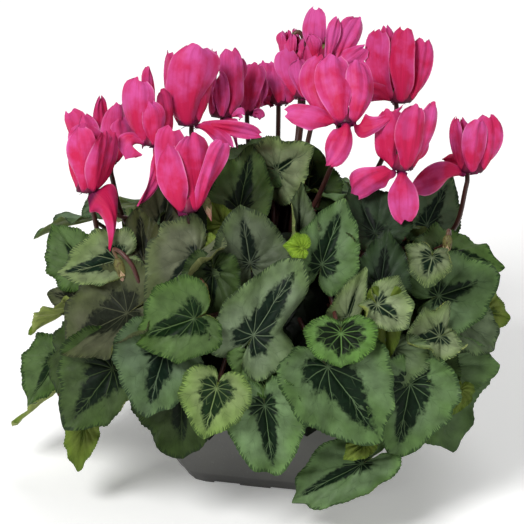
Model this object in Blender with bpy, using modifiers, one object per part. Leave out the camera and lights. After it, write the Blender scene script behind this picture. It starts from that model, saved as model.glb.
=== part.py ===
"""A potted florist's cyclamen: square nursery pot, potting soil, corm, leaves, flowers and buds.

Metres, +Z up. The origin is the centre of the pot's underside, and -Y is the plant's best side.
Every leaf, flower and bud is one solid with its own stalk, which rises from the corm's crown.
"""

import math

import bmesh
import bpy
import numpy as np
from mathutils import Matrix, Vector
from mathutils.bvhtree import BVHTree

MM = 0.001

# Pot: a flared square with round corners, a foot band and a rim that is folded outwards.
POT_TURN = math.radians(-12)
POT_WALL = 1.8 * MM
POT_PROFILE = (  # height, half width and corner radius in millimetres
    # the outside from the foot up
    (0, 40, 12),
    (7, 43.5, 13),
    (7.8, 44.3, 13),
    (45, 62, 16),
    (92, 71.5, 18),
    # the folded rim
    (94.6, 72, 18),
    (94.4, 74.3, 18.6),
    (92, 74.8, 18.6),
    (92, 76.5, 19),
    (95.8, 75.9, 19),
    (96.4, 75.2, 19),
    (96.4, 71, 17.4),
    (95.6, 70.4, 17.2),
    # the inside down to the floor
    (45, 60.2, 15.2),
    (8, 42.6, 11.6),
    (1.8, 39.1, 10.6),
)
POT_CORNER_STEPS = 3
NOTCH_SIZE = Vector((14.5, 5, 2.2)) * MM
NOTCH_OFFSET = 16 * MM
DRAIN_RADIUS = 4 * MM
DRAIN_OFFSET = 21 * MM

# Soil and corm.
SOIL_TOP = 82 * MM
SOIL_MARGIN = 0.7 * MM
CORM_PROFILE = ((0, 60), (13, 61), (22, 66), (25, 73), (23, 79), (18.5, 84), (0, 84))
CROWN_TOP = 84 * MM
GAP = 0.3 * MM
POCKET_GAP = 0.5 * MM

# Stalks stand on the crown in rings of six, twelve, eighteen and twenty-four.
STALK_RADIUS = 1.2 * MM
SCAPE_RADIUS = 1.25 * MM
FOOT_PITCH = 4.1 * MM
NECK = 2.5 * MM
STEM_END = 2.5 * MM
FOOT_RINGS = (1, 6, 12, 18, 24)

# Blades: outline as a share of the leaf's length, by angle from the tip.
OUTLINE = (
    (0, 1.0),
    (15, 0.94),
    (32, 0.82),
    (55, 0.7),
    (90, 0.61),
    (120, 0.57),
    (148, 0.47),
    (168, 0.34),
    (174, 0.24),
)
SINUS = math.radians(174)
BLADE_THICKNESS = 0.8 * MM
BLADE_SPOKES = 12
BLADE_RINGS = 2
CLEARANCE = 0.5 * MM
SHELL_SIDES = 6
MOST_TRIES = 60

# Each leaf: hub, tip (millimetres), the way its face looks (bearing from -Y towards +X, and
# elevation), breadth against the usual outline, fold at the midrib (degrees), droop of the tip
# (radians), cup and wave of the rim (shares of the length). The rows run from the leaves that lie
# deepest to the outermost.
LEAVES = (
    # hanging low over the rim
    ((-122, -14, 44), (-146, -16, 28), (-120, 50), 0.8, 12, 0.3, 0, 0.05),
    ((50, -94, 46), (6, -100, 22), (8, 56), 0.6, 12, 0.1, 0, 0.04),
    ((-98, -66, 66), (-107, -72, 28), (165, 4), 0.7, 14, 0.1, 0, 0.05),
    ((-49, -88, 90), (-47, -92, 48), (-12, 8), 0.9, 10, 0.1, 0.1, 0.05),
    ((90, -56, 72), (104, -62, 36), (38, 15), 1.0, 10, 0.1, 0.1, 0.05),
    ((-119, -28, 74), (-134, -36, 50), (-45, 22), 0.9, 12, 0.2, 0.1, 0.04),
    ((-110, -24, 104), (-134, -16, 88), (-130, 35), 0.8, 20, 0.2, 0, 0.05),
    # the back
    ((0, 78, 134), (4, 112, 112), (178, 55), 1.0, 10, 0.3, 0, 0.04),
    ((-62, 70, 122), (-88, 98, 102), (215, 45), 1.0, 12, 0.3, 0, 0.04),
    ((62, 72, 122), (88, 98, 100), (145, 45), 1.0, 8, 0.3, 0, 0.05),
    # the top, from the back forwards
    ((60, -64, 140), (64, -48, 166), (8, 42), 0.8, 8, 0.1, 0, 0.05),
    ((87, 30, 128), (100, 46, 150), (20, 38), 0.9, 14, 0.1, 0.1, 0.05),
    ((-8, 25, 166), (9, 48, 176), (5, 72), 1.0, 10, 0.3, -0.1, 0.06),
    ((-17, -5, 156), (-10, 24, 180), (-5, 50), 0.75, 14, 0.1, 0.1, 0.06),
    ((-59, 5, 140), (-54, 30, 158), (10, 45), 0.8, 24, 0.1, 0.1, 0.05),
    ((-69, -38, 142), (-72, -14, 162), (-15, 42), 0.75, 20, 0.1, 0, 0.05),
    # the left side
    ((-96, 28, 133), (-131, 20, 132), (190, 64), 0.9, 10, 0.2, 0, 0.05),
    ((-104, -12, 126), (-120, 4, 142), (-55, 35), 1.0, 14, 0.1, 0.1, 0.04),
    ((-86, -72, 93), (-112, -82, 61), (-25, 30), 1.0, 12, 0.2, 0, 0.06),
    ((-84, -40, 143), (-116, -44, 135), (-18, 42), 0.85, 26, 0.1, 0.1, 0.05),
    ((-78, -66, 124), (-117, -52, 97), (-22, 56), 0.8, 18, 0.2, 0, 0.05),
    ((-57, -90, 114), (-68, -104, 80), (-14, 28), 1.1, 14, 0.2, 0, 0.06),
    ((-41, -56, 154), (-67, -80, 133), (-35, 34), 0.8, 34, 0.1, 0, 0.05),
    # the right side
    ((95, -18, 134), (130, -8, 126), (35, 72), 0.8, 10, 0.2, 0, 0.05),
    ((102, -42, 108), (128, -38, 88), (45, 28), 0.9, 12, 0.2, 0, 0.05),
    ((95, -52, 84), (127, -45, 80), (32, 14), 0.9, 14, 0.2, 0, 0.05),
    ((96, -46, 124), (127, -32, 126), (22, 34), 0.85, 16, 0.2, 0, 0.05),
    # the front
    ((57, -36, 158), (45, -14, 174), (8, 68), 1.1, 8, 0, 0.25, 0.05),
    ((-11, -60, 152), (-16, -46, 181), (4, 42), 1.1, 16, 0.1, 0, 0.08),
    ((28, -54, 152), (40, -32, 180), (12, 42), 0.75, 18, 0.1, 0.1, 0.06),
    ((76, -86, 91), (69, -94, 49), (14, 22), 0.9, 12, 0.1, 0, 0.06),
    ((92, -70, 112), (74, -84, 114), (4, 46), 1.1, 14, 0.1, 0.2, 0.1),
    ((-3, -106, 89), (2, -112, 46), (-4, 16), 0.8, 12, 0.1, 0, 0.04),
    ((31, -104, 112), (61, -114, 70), (8, 26), 0.85, 14, 0.1, 0, 0.05),
    ((-41, -94, 136), (-74, -92, 122), (-6, 36), 0.95, 14, 0.1, 0, 0.08),
    ((38, -98, 132), (39, -114, 116), (4, 58), 1.3, 6, 0, 0.3, 0.04),
    ((-9, -96, 127), (18, -80, 166), (6, 30), 0.65, 12, 0.1, 0, 0.1),
    ((-29, -112, 103), (-36, -120, 76), (-3, 20), 1.05, 8, 0.1, 0, 0.03),
)

# Corollas: the mouth's cup, and the breadth of a petal's rows as shares of its full breadth.
MOUTH_RADIUS = 4.2 * MM
MOUTH_DEPTH = 1.5 * MM
PETAL_SWELL = (0, 0.5, 0.46)
PETAL_COLUMNS = 3
PETAL_HOLLOW = 0.16

# Each flower: mouth (millimetres), the way its petals stand (bearing and elevation), length and
# breadth of a petal, azimuth of the first petal, and how far each petal opens (degrees).
FLOWERS = (
    ((-100, -25, 178), (0, 86), 31, 19, 20, (8, 14, 12, 10, 128)),
    ((-90, 12, 176), (-20, 84), 28, 18, 0, (14, 16, 16, 16, 18)),
    ((-65, -4, 196), (-60, 80), 30, 18, -54, (12, 10, 14, 14, 150)),
    ((-45, 12, 200), (0, 88), 34, 20, 30, (8, 98, 14, 12, 18)),
    ((-27, 34, 194), (60, 86), 32, 18, 10, (12, 12, 12, 10, 12)),
    ((-45, -48, 178), (0, 88), 38, 21, -30, (5, 10, 18, 14, 10)),
    ((-13, 56, 185), (0, 84), 22, 16, 20, (18, 60, 16, 16, 60)),
    ((5, 74, 182), (0, 84), 21, 16, 0, (18, 50, 14, 14, 50)),
    ((31, 32, 229), (60, 84), 28, 17, -40, (10, 20, 56, 12, 12)),
    ((41, -18, 215), (180, 62), 35, 20, 150, (12, 14, 55, 65, 55)),
    ((72, 24, 208), (100, 84), 36, 19, 0, (8, 14, 20, 14, 12)),
    ((72, -24, 191), (20, 84), 33, 19, 0, (150, 14, 10, 8, 98)),
    ((111, 6, 174), (10, 86), 28, 17, -20, (6, 16, 14, 14, 104)),
    ((19, 46, 200), (0, 84), 24, 16, 30, (12, 16, 16, 12, 16)),
    ((12, 62, 216), (-90, 84), 13, 9, 0, (6, 6, 6, 6, 6)),
)

# Each bud: top of the hook, tip of the bud (millimetres) and the bud's radius.
BUDS = (
    ((-84, -52, 154), (-77, -58, 132), 2.9),
    ((-36, -40, 184), (-32, -42, 168), 2.4),
    ((-37, -76, 150), (-34, -80, 138), 2.2),
    ((97, -34, 158), (96, -38, 140), 2.5),
)

COLOURS = {
    "pot_plastic": ("#45463f", 0.42),
    "potting_soil": ("#2b2018", 0.95),
    "corm_bark": ("#5b4030", 0.85),
    "leaf_green": ("#5f7a58", 0.55),
    "petal_magenta": ("#dc3c7a", 0.5),
    "bud_cream": ("#c99a80", 0.55),
}


def clear_scene():
    for old in list(bpy.data.objects):
        bpy.data.objects.remove(old, do_unlink=True)


def linear(channel):
    return channel / 12.92 if channel <= 0.04045 else ((channel + 0.055) / 1.055) ** 2.4


def make_material(name):
    code, roughness = COLOURS[name]
    colour = [linear(int(code[i : i + 2], 16) / 255) for i in (1, 3, 5)] + [1]
    material = bpy.data.materials.new(name)
    material.use_nodes = True
    shader = material.node_tree.nodes["Principled BSDF"]
    shader.inputs["Base Color"].default_value = colour
    shader.inputs["Roughness"].default_value = roughness
    shader.inputs["Metallic"].default_value = 0
    material.diffuse_color = colour
    return material


def direction(bearing, elevation):
    """Unit vector for a bearing measured from -Y towards +X, and an elevation, in degrees."""
    b, e = math.radians(bearing), math.radians(elevation)
    return Vector((math.sin(b) * math.cos(e), -math.cos(b) * math.cos(e), math.sin(e)))


class Workshop:
    """The scene's two collections and its materials."""

    def __init__(self):
        scene = bpy.context.scene
        self.parts = bpy.data.collections.new("potted_cyclamen")
        self.helpers = bpy.data.collections.new("cutters")
        scene.collection.children.link(self.parts)
        scene.collection.children.link(self.helpers)
        self.materials = {name: make_material(name) for name in COLOURS}

    def add(self, name, data, material):
        part = bpy.data.objects.new(name, data)
        self.parts.objects.link(part)
        if material:
            part.data.materials.append(self.materials[material])
        return part

    def evaluated(self, part):
        bpy.context.view_layer.update()
        graph = bpy.context.evaluated_depsgraph_get()
        return bpy.data.meshes.new_from_object(part.evaluated_get(graph))

    def settle_modifiers(self, part):
        """Replaces the object's mesh by the one that its modifiers make."""
        mesh = self.evaluated(part)
        old = part.data
        part.modifiers.clear()
        part.data = mesh
        bpy.data.meshes.remove(old)

    def combine(self, part, tool, operation):
        modifier = part.modifiers.new("Combine", "BOOLEAN")
        modifier.operation = operation
        modifier.solver = "EXACT"
        modifier.object = tool
        self.settle_modifiers(part)
        bpy.data.objects.remove(tool, do_unlink=True)
        bm = bmesh.new()
        bm.from_mesh(part.data)
        bmesh.ops.dissolve_limit(bm, angle_limit=0.002, verts=bm.verts, edges=bm.edges)
        bm.to_mesh(part.data)
        bm.free()

    def add_cutter(self, name, mesh):
        cutter = bpy.data.objects.new(name, mesh)
        self.helpers.objects.link(cutter)
        cutter.hide_render = True
        cutter.display_type = "WIRE"
        return cutter


# ---- pot, soil and corm ----


def rounded_square(half, radius, height):
    """Square with round corners as a closed run of points in metres; sizes in millimetres."""
    points = []
    for corner in range(4):
        centre = Matrix.Rotation(corner * math.pi / 2, 3, "Z") @ Vector((half - radius,) * 2 + (0,))
        for step in range(POT_CORNER_STEPS + 1):
            angle = corner * math.pi / 2 + step / POT_CORNER_STEPS * math.pi / 2
            points.append(centre + radius * Vector((math.cos(angle), math.sin(angle), 0)))
    turn = Matrix.Rotation(POT_TURN, 3, "Z")
    return [(turn @ point + Vector((0, 0, height))) * MM for point in points]


def lofted(rings):
    """Closed solid through rings of equal count, with a face in the first and the last ring."""
    columns, rows = len(rings[0]), len(rings) - 1
    bm = bmesh.new()
    bmesh.ops.create_grid(bm, x_segments=columns, y_segments=rows, size=1)
    for vert in bm.verts:
        column = round((vert.co.x + 1) / 2 * columns)
        row = round((vert.co.y + 1) / 2 * rows)
        vert.co = rings[row][column % columns]
    bmesh.ops.remove_doubles(bm, verts=bm.verts, dist=1e-6)
    bmesh.ops.edgeloop_fill(bm, edges=[edge for edge in bm.edges if edge.is_boundary])
    bmesh.ops.recalc_face_normals(bm, faces=bm.faces)
    if bm.calc_volume(signed=True) < 0:
        bmesh.ops.reverse_faces(bm, faces=bm.faces)
    mesh = bpy.data.meshes.new("loft")
    bm.to_mesh(mesh)
    bm.free()
    return mesh


def pot_half(height):
    """Half width and corner radius of the pot's outside at a height in millimetres."""
    rows = POT_PROFILE[:5]
    heights = [row[0] for row in rows]
    half = float(np.interp(height, heights, [row[1] for row in rows]))
    radius = float(np.interp(height, heights, [row[2] for row in rows]))
    return half, radius


def box_mesh(size, place):
    bm = bmesh.new()
    bmesh.ops.create_cube(bm, size=1, matrix=place @ Matrix.Diagonal(size.to_4d()))
    mesh = bpy.data.meshes.new("box")
    bm.to_mesh(mesh)
    bm.free()
    return mesh


def cylinder_mesh(radius, depth, centre):
    bm = bmesh.new()
    bmesh.ops.create_cone(
        bm,
        cap_ends=True,
        segments=8,
        radius1=radius,
        radius2=radius,
        depth=depth,
        matrix=Matrix.Translation(centre),
    )
    mesh = bpy.data.meshes.new("cylinder")
    bm.to_mesh(mesh)
    bm.free()
    return mesh


def make_pot(shop):
    rings = [rounded_square(half, radius, height) for height, half, radius in POT_PROFILE]
    pot = shop.add("pot", lofted(rings), "pot_plastic")
    turn = Matrix.Rotation(POT_TURN, 4, "Z")
    foot = POT_PROFILE[0][1] * MM
    for side in range(4):
        place = turn @ Matrix.Rotation(side * math.pi / 2, 4, "Z")
        for offset in (-NOTCH_OFFSET, NOTCH_OFFSET):
            notch = box_mesh(NOTCH_SIZE, place @ Matrix.Translation((offset, -foot, 0)))
            shop.combine(pot, shop.add_cutter("notch", notch), "DIFFERENCE")
        centre = place @ Vector((DRAIN_OFFSET, DRAIN_OFFSET, 0))
        drain = cylinder_mesh(DRAIN_RADIUS, 4 * POT_WALL, centre)
        shop.combine(pot, shop.add_cutter("drain", drain), "DIFFERENCE")
    return pot


def corm_mesh(shop, grow):
    """The corm's solid of revolution, made larger all round by grow metres."""
    middle = sum(height for _, height in CORM_PROFILE[1:-1]) / (len(CORM_PROFILE) - 2)
    points = []
    for radius, height in reversed(CORM_PROFILE):
        outward = radius * MM + (grow if radius else 0)
        points.append((outward, 0, height * MM + math.copysign(grow, height - middle)))
    profile = bpy.data.meshes.new("corm_profile")
    profile.from_pydata(points, [(i, i + 1) for i in range(len(points) - 1)], [])
    turned = shop.add("corm_turning", profile, None)
    screw = turned.modifiers.new("Turn", "SCREW")
    screw.steps = screw.render_steps = 14
    screw.use_merge_vertices = True
    screw.merge_threshold = 1e-5
    screw.use_normal_calculate = True
    mesh = shop.evaluated(turned)
    bpy.data.objects.remove(turned, do_unlink=True)
    return mesh


def make_corm(shop):
    return shop.add("corm", corm_mesh(shop, 0), "corm_bark")


def make_soil(shop):
    inset = (1.12 * POT_WALL + SOIL_MARGIN) / MM
    rings = []
    for level in ((POT_WALL + GAP) / MM, 9, 45, SOIL_TOP / MM):
        half, radius = pot_half(level)
        rings.append(rounded_square(half - inset, radius - 0.6 * inset, level))
    soil = shop.add("soil", lofted(rings), "potting_soil")
    pocket = shop.add_cutter("corm_pocket", corm_mesh(shop, POCKET_GAP))
    shop.combine(soil, pocket, "DIFFERENCE")
    return soil


# ---- surfaces of leaves and petals ----


def outline(theta):
    """Reach of the blade at an angle from its tip, as a share of its length."""
    angles = [math.radians(angle) for angle, _ in OUTLINE]
    return float(np.interp(abs(theta), angles, [reach for _, reach in OUTLINE]))


def bend(distance, turn, span):
    """Along and out-of-plane travel of a strip that turns by an angle over a span."""
    if abs(turn) < 1e-4:
        return distance, 0.0
    curve = turn / span
    return math.sin(curve * distance) / curve, (1 - math.cos(curve * distance)) / curve


class Leaf:
    """One leaf's plan: its axes at the hub and the bends of its blade."""

    def __init__(self, number, row):
        self.name = f"leaf_{number:02}"
        hub, tip, facing, breadth, fold, droop, cup, wave = row
        self.hub = Vector(hub) * MM
        reach = Vector(tip) * MM - self.hub
        self.length = reach.length
        self.breadth = breadth
        self.along = reach.normalized()
        face = direction(*facing)
        self.face = (face - face.dot(self.along) * self.along).normalized()
        self.across = self.along.cross(self.face)
        self.fold = math.radians(fold)
        self.droop = droop
        self.cup = cup
        self.wave = wave
        self.phase = 1.7 * number

    def point(self, theta, share):
        reach = outline(theta) * self.length * share
        along = reach * math.cos(theta)
        across = reach * math.sin(theta) * self.breadth
        forward, sink = bend(max(along, 0), self.droop, self.length)
        forward += min(along, 0)
        rise = abs(across) * math.sin(self.fold) - sink
        rise += self.cup * self.length * share**2 * outline(theta)
        rise += self.wave * self.length * share**2 * math.sin(5 * theta + self.phase)
        sideways = across * math.cos(self.fold)
        return self.hub + forward * self.along + sideways * self.across + rise * self.face

    def surface(self):
        """The blade's middle surface: (points, faces)."""
        bm = bmesh.new()
        bmesh.ops.create_grid(bm, x_segments=BLADE_SPOKES, y_segments=BLADE_RINGS, size=1)
        for vert in bm.verts:
            theta = vert.co.x * SINUS
            share = (vert.co.y + 1) / 2
            vert.co = self.point(theta, share)
        bmesh.ops.remove_doubles(bm, verts=bm.verts, dist=1e-6)
        return bm


class Flower:
    """One flower's plan: its axes at the mouth, and five petals that stand round the axis."""

    def __init__(self, number, row):
        self.name = f"flower_{number:02}"
        mouth, lean, length, breadth, first, openings = row
        self.hub = Vector(mouth) * MM
        self.axis = direction(*lean)
        self.length = length * MM
        self.breadth = breadth * MM
        front = direction(0, 0)
        self.front = (front - front.dot(self.axis) * self.axis).normalized()
        self.side = self.axis.cross(self.front)
        self.first = first
        self.openings = openings
        self.face = self.axis
        self.along = self.front
        self.across = self.side

    def radial(self, azimuth):
        turn = math.radians(azimuth)
        return math.cos(turn) * self.front + math.sin(turn) * self.side

    def surface(self):
        bm = bmesh.new()
        count = len(self.openings)
        columns = PETAL_COLUMNS * count
        rows = len(PETAL_SWELL)
        bmesh.ops.create_grid(bm, x_segments=columns, y_segments=rows, size=1)
        gaps = []
        for face in bm.faces:
            middle = face.calc_center_median()
            column = int((middle.x + 1) / 2 * columns)
            if column % PETAL_COLUMNS == 2 and middle.y > 2 / rows - 1:
                gaps.append(face)
        bmesh.ops.delete(bm, geom=gaps, context="FACES")
        for vert in bm.verts:
            column = round((vert.co.x + 1) / 2 * columns)
            row = round((vert.co.y + 1) / 2 * rows)
            vert.co = self.grid_point(column % columns, row)
        bmesh.ops.remove_doubles(bm, verts=bm.verts, dist=1e-6)
        return bm

    def grid_point(self, column, row):
        petal, part = divmod(column, PETAL_COLUMNS)
        spacing = 360 / len(self.openings)
        middle = self.first + petal * spacing
        if row == 0:
            return self.hub + MOUTH_DEPTH * self.axis
        if row == 1:
            return self.hub + MOUTH_RADIUS * self.radial(middle + (part - 1) * spacing / 3)
        opening = math.radians(self.openings[petal])
        share = (row - 1) / 2
        swell = PETAL_SWELL[row - 1]
        out = self.radial(middle)
        sideways = self.axis.cross(out)
        curl = opening * (0.6 + 0.55 * share)
        travel = share * self.length
        place = self.hub + MOUTH_RADIUS * out
        place += travel * (math.sin(curl) * out + math.cos(curl) * self.axis)
        hollow = PETAL_HOLLOW * abs(part - 1) * self.breadth * swell
        inward = math.cos(curl) * out - math.sin(curl) * self.axis
        return place + (part - 1) * swell * self.breadth / 2 * sideways - hollow * inward


# ---- growing: each stem finds room among those already placed ----


def tube_shell(points, radius):
    """Six-sided skin that holds a round tube along a run of points, used to test for room."""
    reach = radius / math.cos(math.pi / SHELL_SIDES)
    verts = []
    for i, point in enumerate(points):
        ahead = (points[min(i + 1, len(points) - 1)] - points[max(i - 1, 0)]).normalized()
        one = ahead.orthogonal().normalized() * reach
        other = ahead.cross(one)
        for side in range(SHELL_SIDES):
            turn = 2 * math.pi * side / SHELL_SIDES
            verts.append(point + math.cos(turn) * one + math.sin(turn) * other)
    faces = []
    for i in range(0, SHELL_SIDES * (len(points) - 1), SHELL_SIDES):
        for k in range(SHELL_SIDES):
            following = (k + 1) % SHELL_SIDES
            faces.append((i + k, i + following, i + SHELL_SIDES + following, i + SHELL_SIDES + k))
    return verts, faces


def blade_shell(bm, centre, margin):
    """Closed skin at a distance round a surface, used to test for room."""
    bm.normal_update()
    bm.verts.index_update()
    spread = [centre + 1.03 * (vert.co - centre) for vert in bm.verts]
    verts = [co + margin * vert.normal for co, vert in zip(spread, bm.verts)]
    verts += [co - margin * vert.normal for co, vert in zip(spread, bm.verts)]
    count = len(bm.verts)
    faces = [[vert.index for vert in face.verts] for face in bm.faces]
    faces += [[index + count for index in reversed(face)] for face in faces]
    for edge in bm.edges:
        if edge.is_boundary:
            a, b = (vert.index for vert in edge.verts)
            faces.append([a, b, b + count, a + count])
    return verts, faces


class Thicket:
    """Everything placed so far, as one tree of faces that new stems must keep clear of."""

    def __init__(self):
        self.verts = []
        self.faces = []
        self.tree = None

    def add(self, verts, faces):
        start = len(self.verts)
        self.verts += verts
        self.faces += [[index + start for index in face] for face in faces]
        self.tree = BVHTree.FromPolygons(self.verts, self.faces)

    def add_surface(self, bm):
        bm.verts.index_update()
        faces = [[vert.index for vert in face.verts] for face in bm.faces]
        self.add([vert.co.copy() for vert in bm.verts], faces)

    def has_room(self, verts, faces):
        return not BVHTree.FromPolygons(verts, faces).overlap(self.tree)


def cubic(start, rise, arrive, end, count):
    """Points along a cubic curve from start to end."""
    points = []
    for i in range(count + 1):
        t = i / count
        s = 1 - t
        points.append(s**3 * start + 3 * s * s * t * rise + 3 * s * t * t * arrive + t**3 * end)
    return points


def approaches(plan):
    """Directions in which a stalk can leave the hub, the most natural first."""
    for tilt in (40, 65, 20, 90, 115):
        for turn in (0, 40, -40, 80, -80, 130, -130):
            lean, swing = math.radians(tilt), math.radians(turn)
            sideways = -math.cos(swing) * plan.along + math.sin(swing) * plan.across
            yield -math.cos(lean) * plan.face + math.sin(lean) * sideways


def find_route(foot, ending, plan, thicket, radius, count):
    """The first smooth run of points from the foot to the ending that keeps clear, or None."""
    end = ending[0]
    neck = foot + Vector((0, 0, NECK))
    span = (end - neck).length
    outward = Vector((foot.x, foot.y, 0)) / (4 * FOOT_PITCH)
    for away in approaches(plan):
        for reach in (0.4, 0.6, 0.22):
            for lift in (0.45, 0.7, 0.25):
                rise = neck + lift * span * (Vector((0, 0, 1)) + 0.5 * outward)
                points = cubic(neck, rise, end + reach * span * away, end, count) + ending[1:]
                if thicket.has_room(*tube_shell(points, radius + BLADE_THICKNESS / 2 + CLEARANCE)):
                    return [foot] + points
    return None


def offsets():
    """Small shifts (outwards, along, across) in millimetres, the smallest first."""
    shifts = []
    for out in range(-8, 25, 2):
        for along in range(-12, 13, 3):
            for across in range(-12, 13, 3):
                cost = abs(out) * (1 if out > 0 else 1.5) + 1.3 * (abs(along) + abs(across))
                shifts.append((cost, out, along, across))
    return [shift[1:] for shift in sorted(shifts)]


def grow(plan, foot, thicket, ending, radius, count):
    """Moves the plan's hub to the nearest place with room, and returns its stem's points."""
    home = plan.hub.copy()
    bm = plan.surface()
    shell, faces = blade_shell(bm, home, BLADE_THICKNESS + CLEARANCE)
    tries = 0
    for out, along, across in offsets():
        shift = (out * plan.face + along * plan.along + across * plan.across) * MM
        if not thicket.has_room([co + shift for co in shell], faces):
            continue
        tries += 1
        if tries > MOST_TRIES:
            continue
        plan.hub = home + shift
        points = find_route(foot, ending(plan), plan, thicket, radius, count)
        if points:
            print(f"{plan.name} moved {shift.length / MM:.0f} mm")
            break
    else:
        plan.hub = home
        print(f"{plan.name} found no room")
        points = cubic(foot, foot + Vector((0, 0, 0.03)), home, home, count)
    bm.free()
    placed = plan.surface()
    thicket.add_surface(placed)
    placed.free()
    thicket.add(*tube_shell(points, radius))
    return points


# ---- solids ----


def stem_mesh(shop, name, points, radius):
    """A round stalk as a mesh, closed at both ends."""
    data = bpy.data.curves.new(name, "CURVE")
    data.dimensions = "3D"
    data.bevel_depth = radius
    data.bevel_resolution = 1
    data.use_fill_caps = True
    spline = data.splines.new("POLY")
    spline.points.add(len(points) - 1)
    for spot, point in zip(spline.points, points):
        spot.co = point.to_4d()
    guide = shop.add(name + "_line", data, None)
    mesh = shop.evaluated(guide)
    bpy.data.objects.remove(guide, do_unlink=True)
    bm = bmesh.new()
    bm.from_mesh(mesh)
    bmesh.ops.remove_doubles(bm, verts=bm.verts, dist=1e-6)
    bmesh.ops.recalc_face_normals(bm, faces=bm.faces)
    bm.to_mesh(mesh)
    bm.free()
    return mesh


def join_stem(shop, part, points, radius):
    stem = shop.add_cutter("stem", stem_mesh(shop, part.name, points, radius))
    shop.combine(part, stem, "UNION")


def make_blade(shop, plan, points, radius, material):
    """A blade or corolla of even thickness with its stem, as one solid."""
    bm = plan.surface()
    bmesh.ops.recalc_face_normals(bm, faces=bm.faces)
    mesh = bpy.data.meshes.new(plan.name)
    bm.to_mesh(mesh)
    bm.free()
    part = shop.add(plan.name, mesh, material)
    solid = part.modifiers.new("Thickness", "SOLIDIFY")
    solid.thickness = BLADE_THICKNESS
    solid.offset = 0
    shop.settle_modifiers(part)
    join_stem(shop, part, points, radius)


def leaf_end(leaf):
    """The stalk meets the blade square to its underside."""
    return [leaf.hub - STEM_END * leaf.face, leaf.hub.copy()]


def flower_end(flower):
    """The scape meets the corolla from below."""
    return [flower.hub - STEM_END * flower.axis, flower.hub + MOUTH_DEPTH * flower.axis]


class Bud:
    """A nodding bud: its hook, its tip, and the way that its scape comes up."""

    def __init__(self, number, row):
        self.name = f"bud_{number:02}"
        top, tip, radius = row
        self.hub = Vector(top) * MM
        self.drop = Vector(tip) * MM - self.hub
        self.radius = radius * MM
        self.face = Vector((0, 0, 1))
        self.along = Vector((self.drop.x, self.drop.y, 0)).normalized()
        self.across = self.along.cross(self.face)

    def surface(self):
        bm = bmesh.new()
        bmesh.ops.create_uvsphere(bm, u_segments=7, v_segments=5, radius=1)
        half = 0.42 * self.drop.length
        turn = self.drop.to_track_quat("Z", "Y").to_matrix().to_4x4()
        shape = Matrix.Diagonal((self.radius, self.radius, half, 1))
        place = Matrix.Translation(self.hub + 0.58 * self.drop)
        bm.transform(place @ turn @ shape)
        return bm


def bud_end(bud):
    arch = 3.2 * MM
    return [
        bud.hub - arch * bud.along - 4 * MM * bud.face,
        bud.hub - 0.55 * arch * bud.along - 0.8 * MM * bud.face,
        bud.hub + 0.1 * bud.drop,
        bud.hub + 0.4 * bud.drop,
    ]


def make_bud(shop, bud, points):
    bm = bud.surface()
    mesh = bpy.data.meshes.new(bud.name)
    bm.to_mesh(mesh)
    bm.free()
    part = shop.add(bud.name, mesh, "bud_cream")
    join_stem(shop, part, points, SCAPE_RADIUS)


def place_feet(plans):
    """A foot on the crown for each plan, in rings: steep stems inside, spreading ones outside."""
    crown = Vector((0, 0, CROWN_TOP))
    steep = sorted(plans, key=lambda plan: (plan.hub - crown).angle(Vector((0, 0, 1))))
    feet = {}
    taken = 0
    for ring, count in enumerate(FOOT_RINGS):
        members = steep[taken : taken + count]
        taken += count
        members.sort(key=lambda plan: math.atan2(plan.hub.y, plan.hub.x))
        bearings = [math.atan2(plan.hub.y, plan.hub.x) for plan in members]
        step = 2 * math.pi / max(len(members), 1)
        errors = [bearing - i * step for i, bearing in enumerate(bearings)]
        start = math.atan2(sum(map(math.sin, errors)), sum(map(math.cos, errors)))
        for i, plan in enumerate(members):
            spot = Matrix.Rotation(start + i * step, 3, "Z") @ Vector((ring * FOOT_PITCH, 0, 0))
            feet[plan.name] = crown + spot + Vector((0, 0, GAP))
    return feet


def main():
    clear_scene()
    shop = Workshop()
    thicket = Thicket()
    for part in (make_pot(shop), make_corm(shop), make_soil(shop)):
        bm = bmesh.new()
        bm.from_mesh(part.data)
        thicket.add_surface(bm)
        bm.free()
    flowers = [Flower(number, row) for number, row in enumerate(FLOWERS, 1)]
    buds = [Bud(number, row) for number, row in enumerate(BUDS, 1)]
    leaves = [Leaf(number, row) for number, row in enumerate(LEAVES, 1)]
    feet = place_feet(flowers + buds + leaves)
    for flower in flowers:
        points = grow(flower, feet[flower.name], thicket, flower_end, SCAPE_RADIUS, 4)
        make_blade(shop, flower, points, SCAPE_RADIUS, "petal_magenta")
    for bud in buds:
        points = grow(bud, feet[bud.name], thicket, bud_end, SCAPE_RADIUS, 5)
        make_bud(shop, bud, points)
    for leaf in leaves:
        points = grow(leaf, feet[leaf.name], thicket, leaf_end, STALK_RADIUS, 4)
        make_blade(shop, leaf, points, STALK_RADIUS, "leaf_green")
    for part in shop.parts.objects:
        part.data.shade_smooth()
        part.data.set_sharp_from_angle(angle=math.radians(35))


if __name__ == "__main__":
    main()
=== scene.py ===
import random
from functools import partial
from math import cos, degrees, exp, pi, radians, sin, tau

import bmesh
import bpy
from mathutils import Matrix, Vector, noise


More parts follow.
